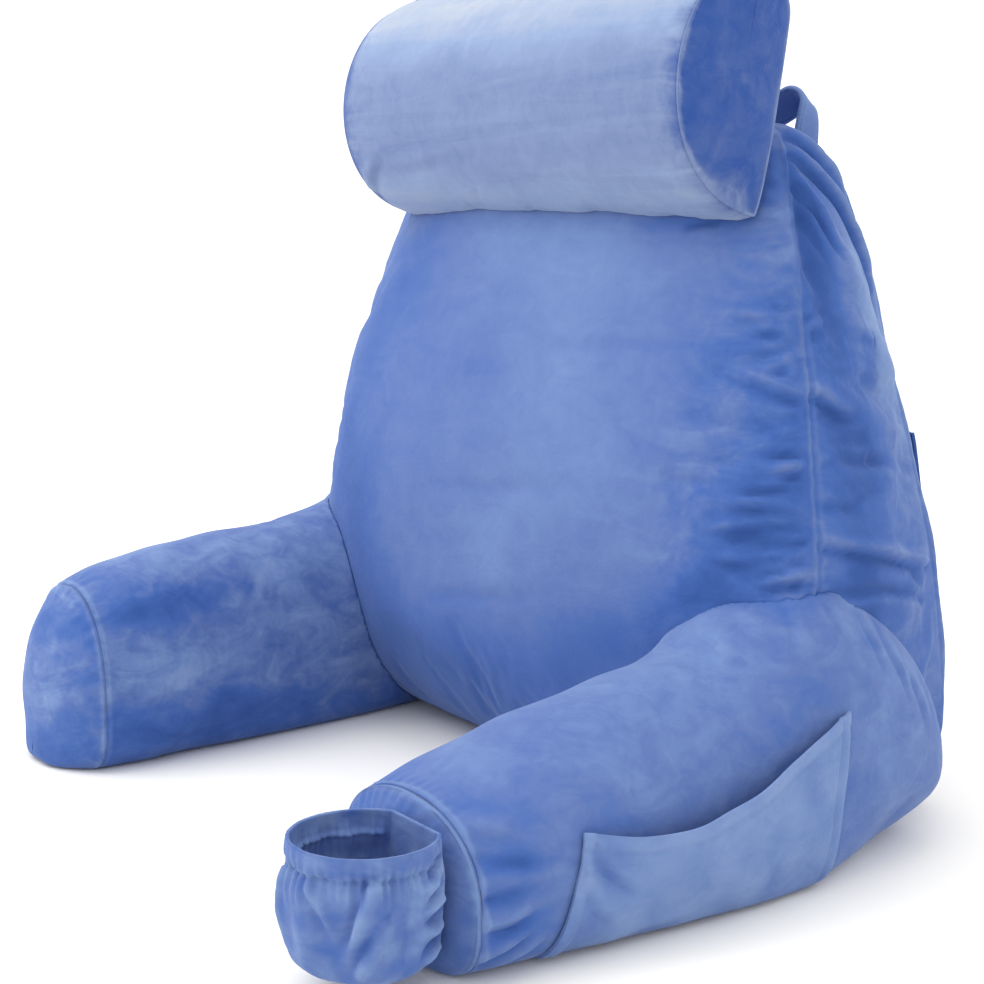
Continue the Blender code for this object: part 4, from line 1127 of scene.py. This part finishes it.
def make_back_pocket(back_skin):
    inwards = Vector((0.0, -1.0, 0.0))
    across, up = 150, 56
    grid = np.empty((up + 1, across + 1, 3))
    for j in range(up + 1):
        v = j / up
        z = BACK_POCKET_LOW + (BACK_POCKET_HIGH - BACK_POCKET_LOW) * v
        half = BACK_POCKET_HALF + BACK_POCKET_SLANT * (1 - v) ** 0.7
        for i in range(across + 1):
            u = 2 * i / across - 1
            hit = back_skin.ray_cast(Vector((half * u, 1.0, z)), inwards)[0]
            gape, edge = BACK_POCKET_GAPE * v**1.6 * (1 - u**2), BACK_POCKET_EDGE * v**0.35 * u**8
            off = BACK_POCKET_OFF + gape + edge + CLOTH
            grid[j, i] = hit.x, hit.y + off, z
    normal = outward(grid, wrap=False)
    if normal[:, :, 1].mean() < 0:
        normal = -normal
    x, z = grid[:, :, 0], grid[:, :, 2]
    mouth = BACK_POCKET_HIGH - z
    side = (1 - np.abs(np.linspace(-1, 1, across + 1))) * BACK_POCKET_HALF * np.ones_like(x)
    low = z - BACK_POCKET_LOW
    edge = np.minimum(side, low)
    lift = 0.0012 * smooth((0.012 - mouth) / 0.002) - 0.0010 * hump(mouth - 0.0125, 0.0012)
    lift += -0.0009 * hump(edge - 0.006, 0.0013) + 0.0012 * ripple(71, x, z, 0.10) * smooth(edge / 0.03)
    top = grid + normal * (lift * smooth(edge / 0.002))[:, :, None]
    nap = 0.48 + 0.12 * ripple(72, x, z, 0.12) + 0.14 * smooth((0.012 - mouth) / 0.003)
    # painted shade: the side edges darkened where they stand in shade off the back panel
    nap -= 0.70 * smooth((0.0080 - side) / 0.004)
    return sheet_skin("back_pocket_cloth", top, normal, nap, 0.30)


def cut_back(piece, neighbour):
    """Cuts a piece off just short of the one it is sewn to."""
    guide = neighbour.copy()
    guide.data = neighbour.data.copy()
    co = np.empty(len(guide.data.vertices) * 3)
    guide.data.vertices.foreach_get("co", co)
    normals = np.empty(len(guide.data.vertices) * 3)
    guide.data.vertices.foreach_get("normal", normals)
    guide.data.vertices.foreach_set("co", co + normals * SEAT)
    guide.data.update()
    bpy.context.scene.collection.objects.link(guide)
    cut = piece.modifiers.new("seat", "BOOLEAN")
    cut.operation, cut.solver, cut.object = "DIFFERENCE", "MANIFOLD", guide
    result = bpy.data.meshes.new_from_object(piece.evaluated_get(bpy.context.evaluated_depsgraph_get()))
    piece.modifiers.clear()
    piece.data = result
    result.set_sharp_from_angle(angle=math.radians(50.0))
    bpy.data.objects.remove(guide, do_unlink=True)


backrest = make_backrest()
arms, caps = {}, {}
for side, name, rows, cap in ((1, "right", RIGHT_ARM_ROWS, RIGHT_CAP), (-1, "left", LEFT_ARM_ROWS, LEFT_CAP)):
    arms[name] = make_arm("arm_" + name, rows, side, cap)
    caps[name] = make_cap("arm_cap_" + name, rows, side, cap)
tablet_pocket = make_tablet_pocket(skin_of(arms["right"]))
neck_roll = make_neck_roll()
roll_ends = {name: make_roll_end("roll_end_" + name, side) for side, name in ((1, "right"), (-1, "left"))}
handle, handle_length = make_handle()
cup_pouch = make_cup_pouch()
back_pocket = make_back_pocket(skin_of(backrest))
for piece in (arms["right"], arms["left"], neck_roll, handle, roll_ends["right"][0], roll_ends["left"][0]):
    cut_back(piece, backrest)


# ---------------------------------------------------------------- what each piece is
def stands_for(piece, node):
    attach(piece, "root")
    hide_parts(node)


for node, piece, fill, slot in (
        ("backrest", backrest, 0.85, "plush_cover"), ("arm_right", arms["right"], 0.85, "plush_cover"),
        ("arm_left", arms["left"], 0.85, "plush_cover"), ("neck_roll", neck_roll, 0.95, "plush_roll")):
    stands_for(piece, node)
sheets = [
    ("tablet_pocket", tablet_pocket, (0.222, 0.112), "stretched", ["arm_right"], "plush_cover", 0.0175),
    ("back_pocket", back_pocket, (0.485, 0.160), "stretched", ["backrest"], "plush_cover", None),
    ("cup_pouch", cup_pouch, (0.270, 0.120), "gathered", ["arm_cap_right"], "plush_cover", None),
    ("carry_handle", handle, (handle_length, 0.026), "hung", ["backrest"], "plush_strap", None),
]
for name, rows in (("right", RIGHT_ARM_ROWS), ("left", LEFT_ARM_ROWS)):
    first = rows[0]
    sheets.append(("arm_cap_" + name, caps[name][0], (first.outer - first.inner + 0.02, first.top + 0.03),
                   "stretched", ["arm_" + name], "plush_cover", caps[name][1]))
for name in ("right", "left"):
    sheets.append(("roll_end_" + name, roll_ends[name][0], (0.105, 0.185), "stretched", ["neck_roll"],
                   "plush_roll", roll_ends[name][1]))
for node, piece, flat, held, rests, slot, area in sheets:
    stands_for(piece, node)


# ---------------------------------------------------------------- floor, light and camera
def studio():
    scene = bpy.context.scene
    floor_mesh = bpy.data.meshes.new("studio_floor")
    reach = 30.0
    floor_mesh.from_pydata([(-reach, -reach, 0), (reach, -reach, 0), (reach, reach, 0), (-reach, reach, 0)],
                           [], [(0, 1, 2, 3)])
    floor = bpy.data.objects.new("studio_floor", floor_mesh)
    scene.collection.objects.link(floor)
    paper = Dye("white_paper")
    paper.shader.inputs["Base Color"].default_value = (0.96, 0.94, 0.89, 1.0)
    paper.shader.inputs["Roughness"].default_value = 0.95
    paper.shader.inputs["Specular IOR Level"].default_value = 0.1
    floor_mesh.materials.append(paper.material)

    world = bpy.data.worlds.new("studio")
    world.use_nodes = True
    world.node_tree.nodes["Background"].inputs["Color"].default_value = (1.0, 1.0, 1.0, 1.0)
    world.node_tree.nodes["Background"].inputs["Strength"].default_value = 1.30
    scene.world = world

    for name, place, target, size, power in (
            ("key", (-0.9, -1.7, 1.9), (0.0, -0.1, 0.25), 1.6, 20.0),
            ("top", (-0.1, -0.2, 2.4), (0.0, -0.1, 0.2), 1.8, 8.0)):
        light = bpy.data.lights.new(name, "AREA")
        light.size, light.energy = size, power
        lamp = bpy.data.objects.new(name, light)
        scene.collection.objects.link(lamp)
        lamp.location = place
        lamp.rotation_euler = (Vector(target) - Vector(place)).to_track_quat("-Z", "Y").to_euler()

    camera = bpy.data.objects.new("camera", bpy.data.cameras.new("camera"))
    camera.data.lens = 68.55
    camera.data.sensor_width = 36.0
    camera.data.clip_end = 100.0
    camera.location = (1.1448, -0.92, 0.4346)
    camera.rotation_euler = (math.radians(90.0 - 8.858), 0.0, math.radians(55.42))
    scene.collection.objects.link(camera)
    scene.camera = camera
    scene.view_settings.view_transform = "Standard"
    scene.view_settings.look = "None"
    scene.view_settings.exposure = 0.0


studio()
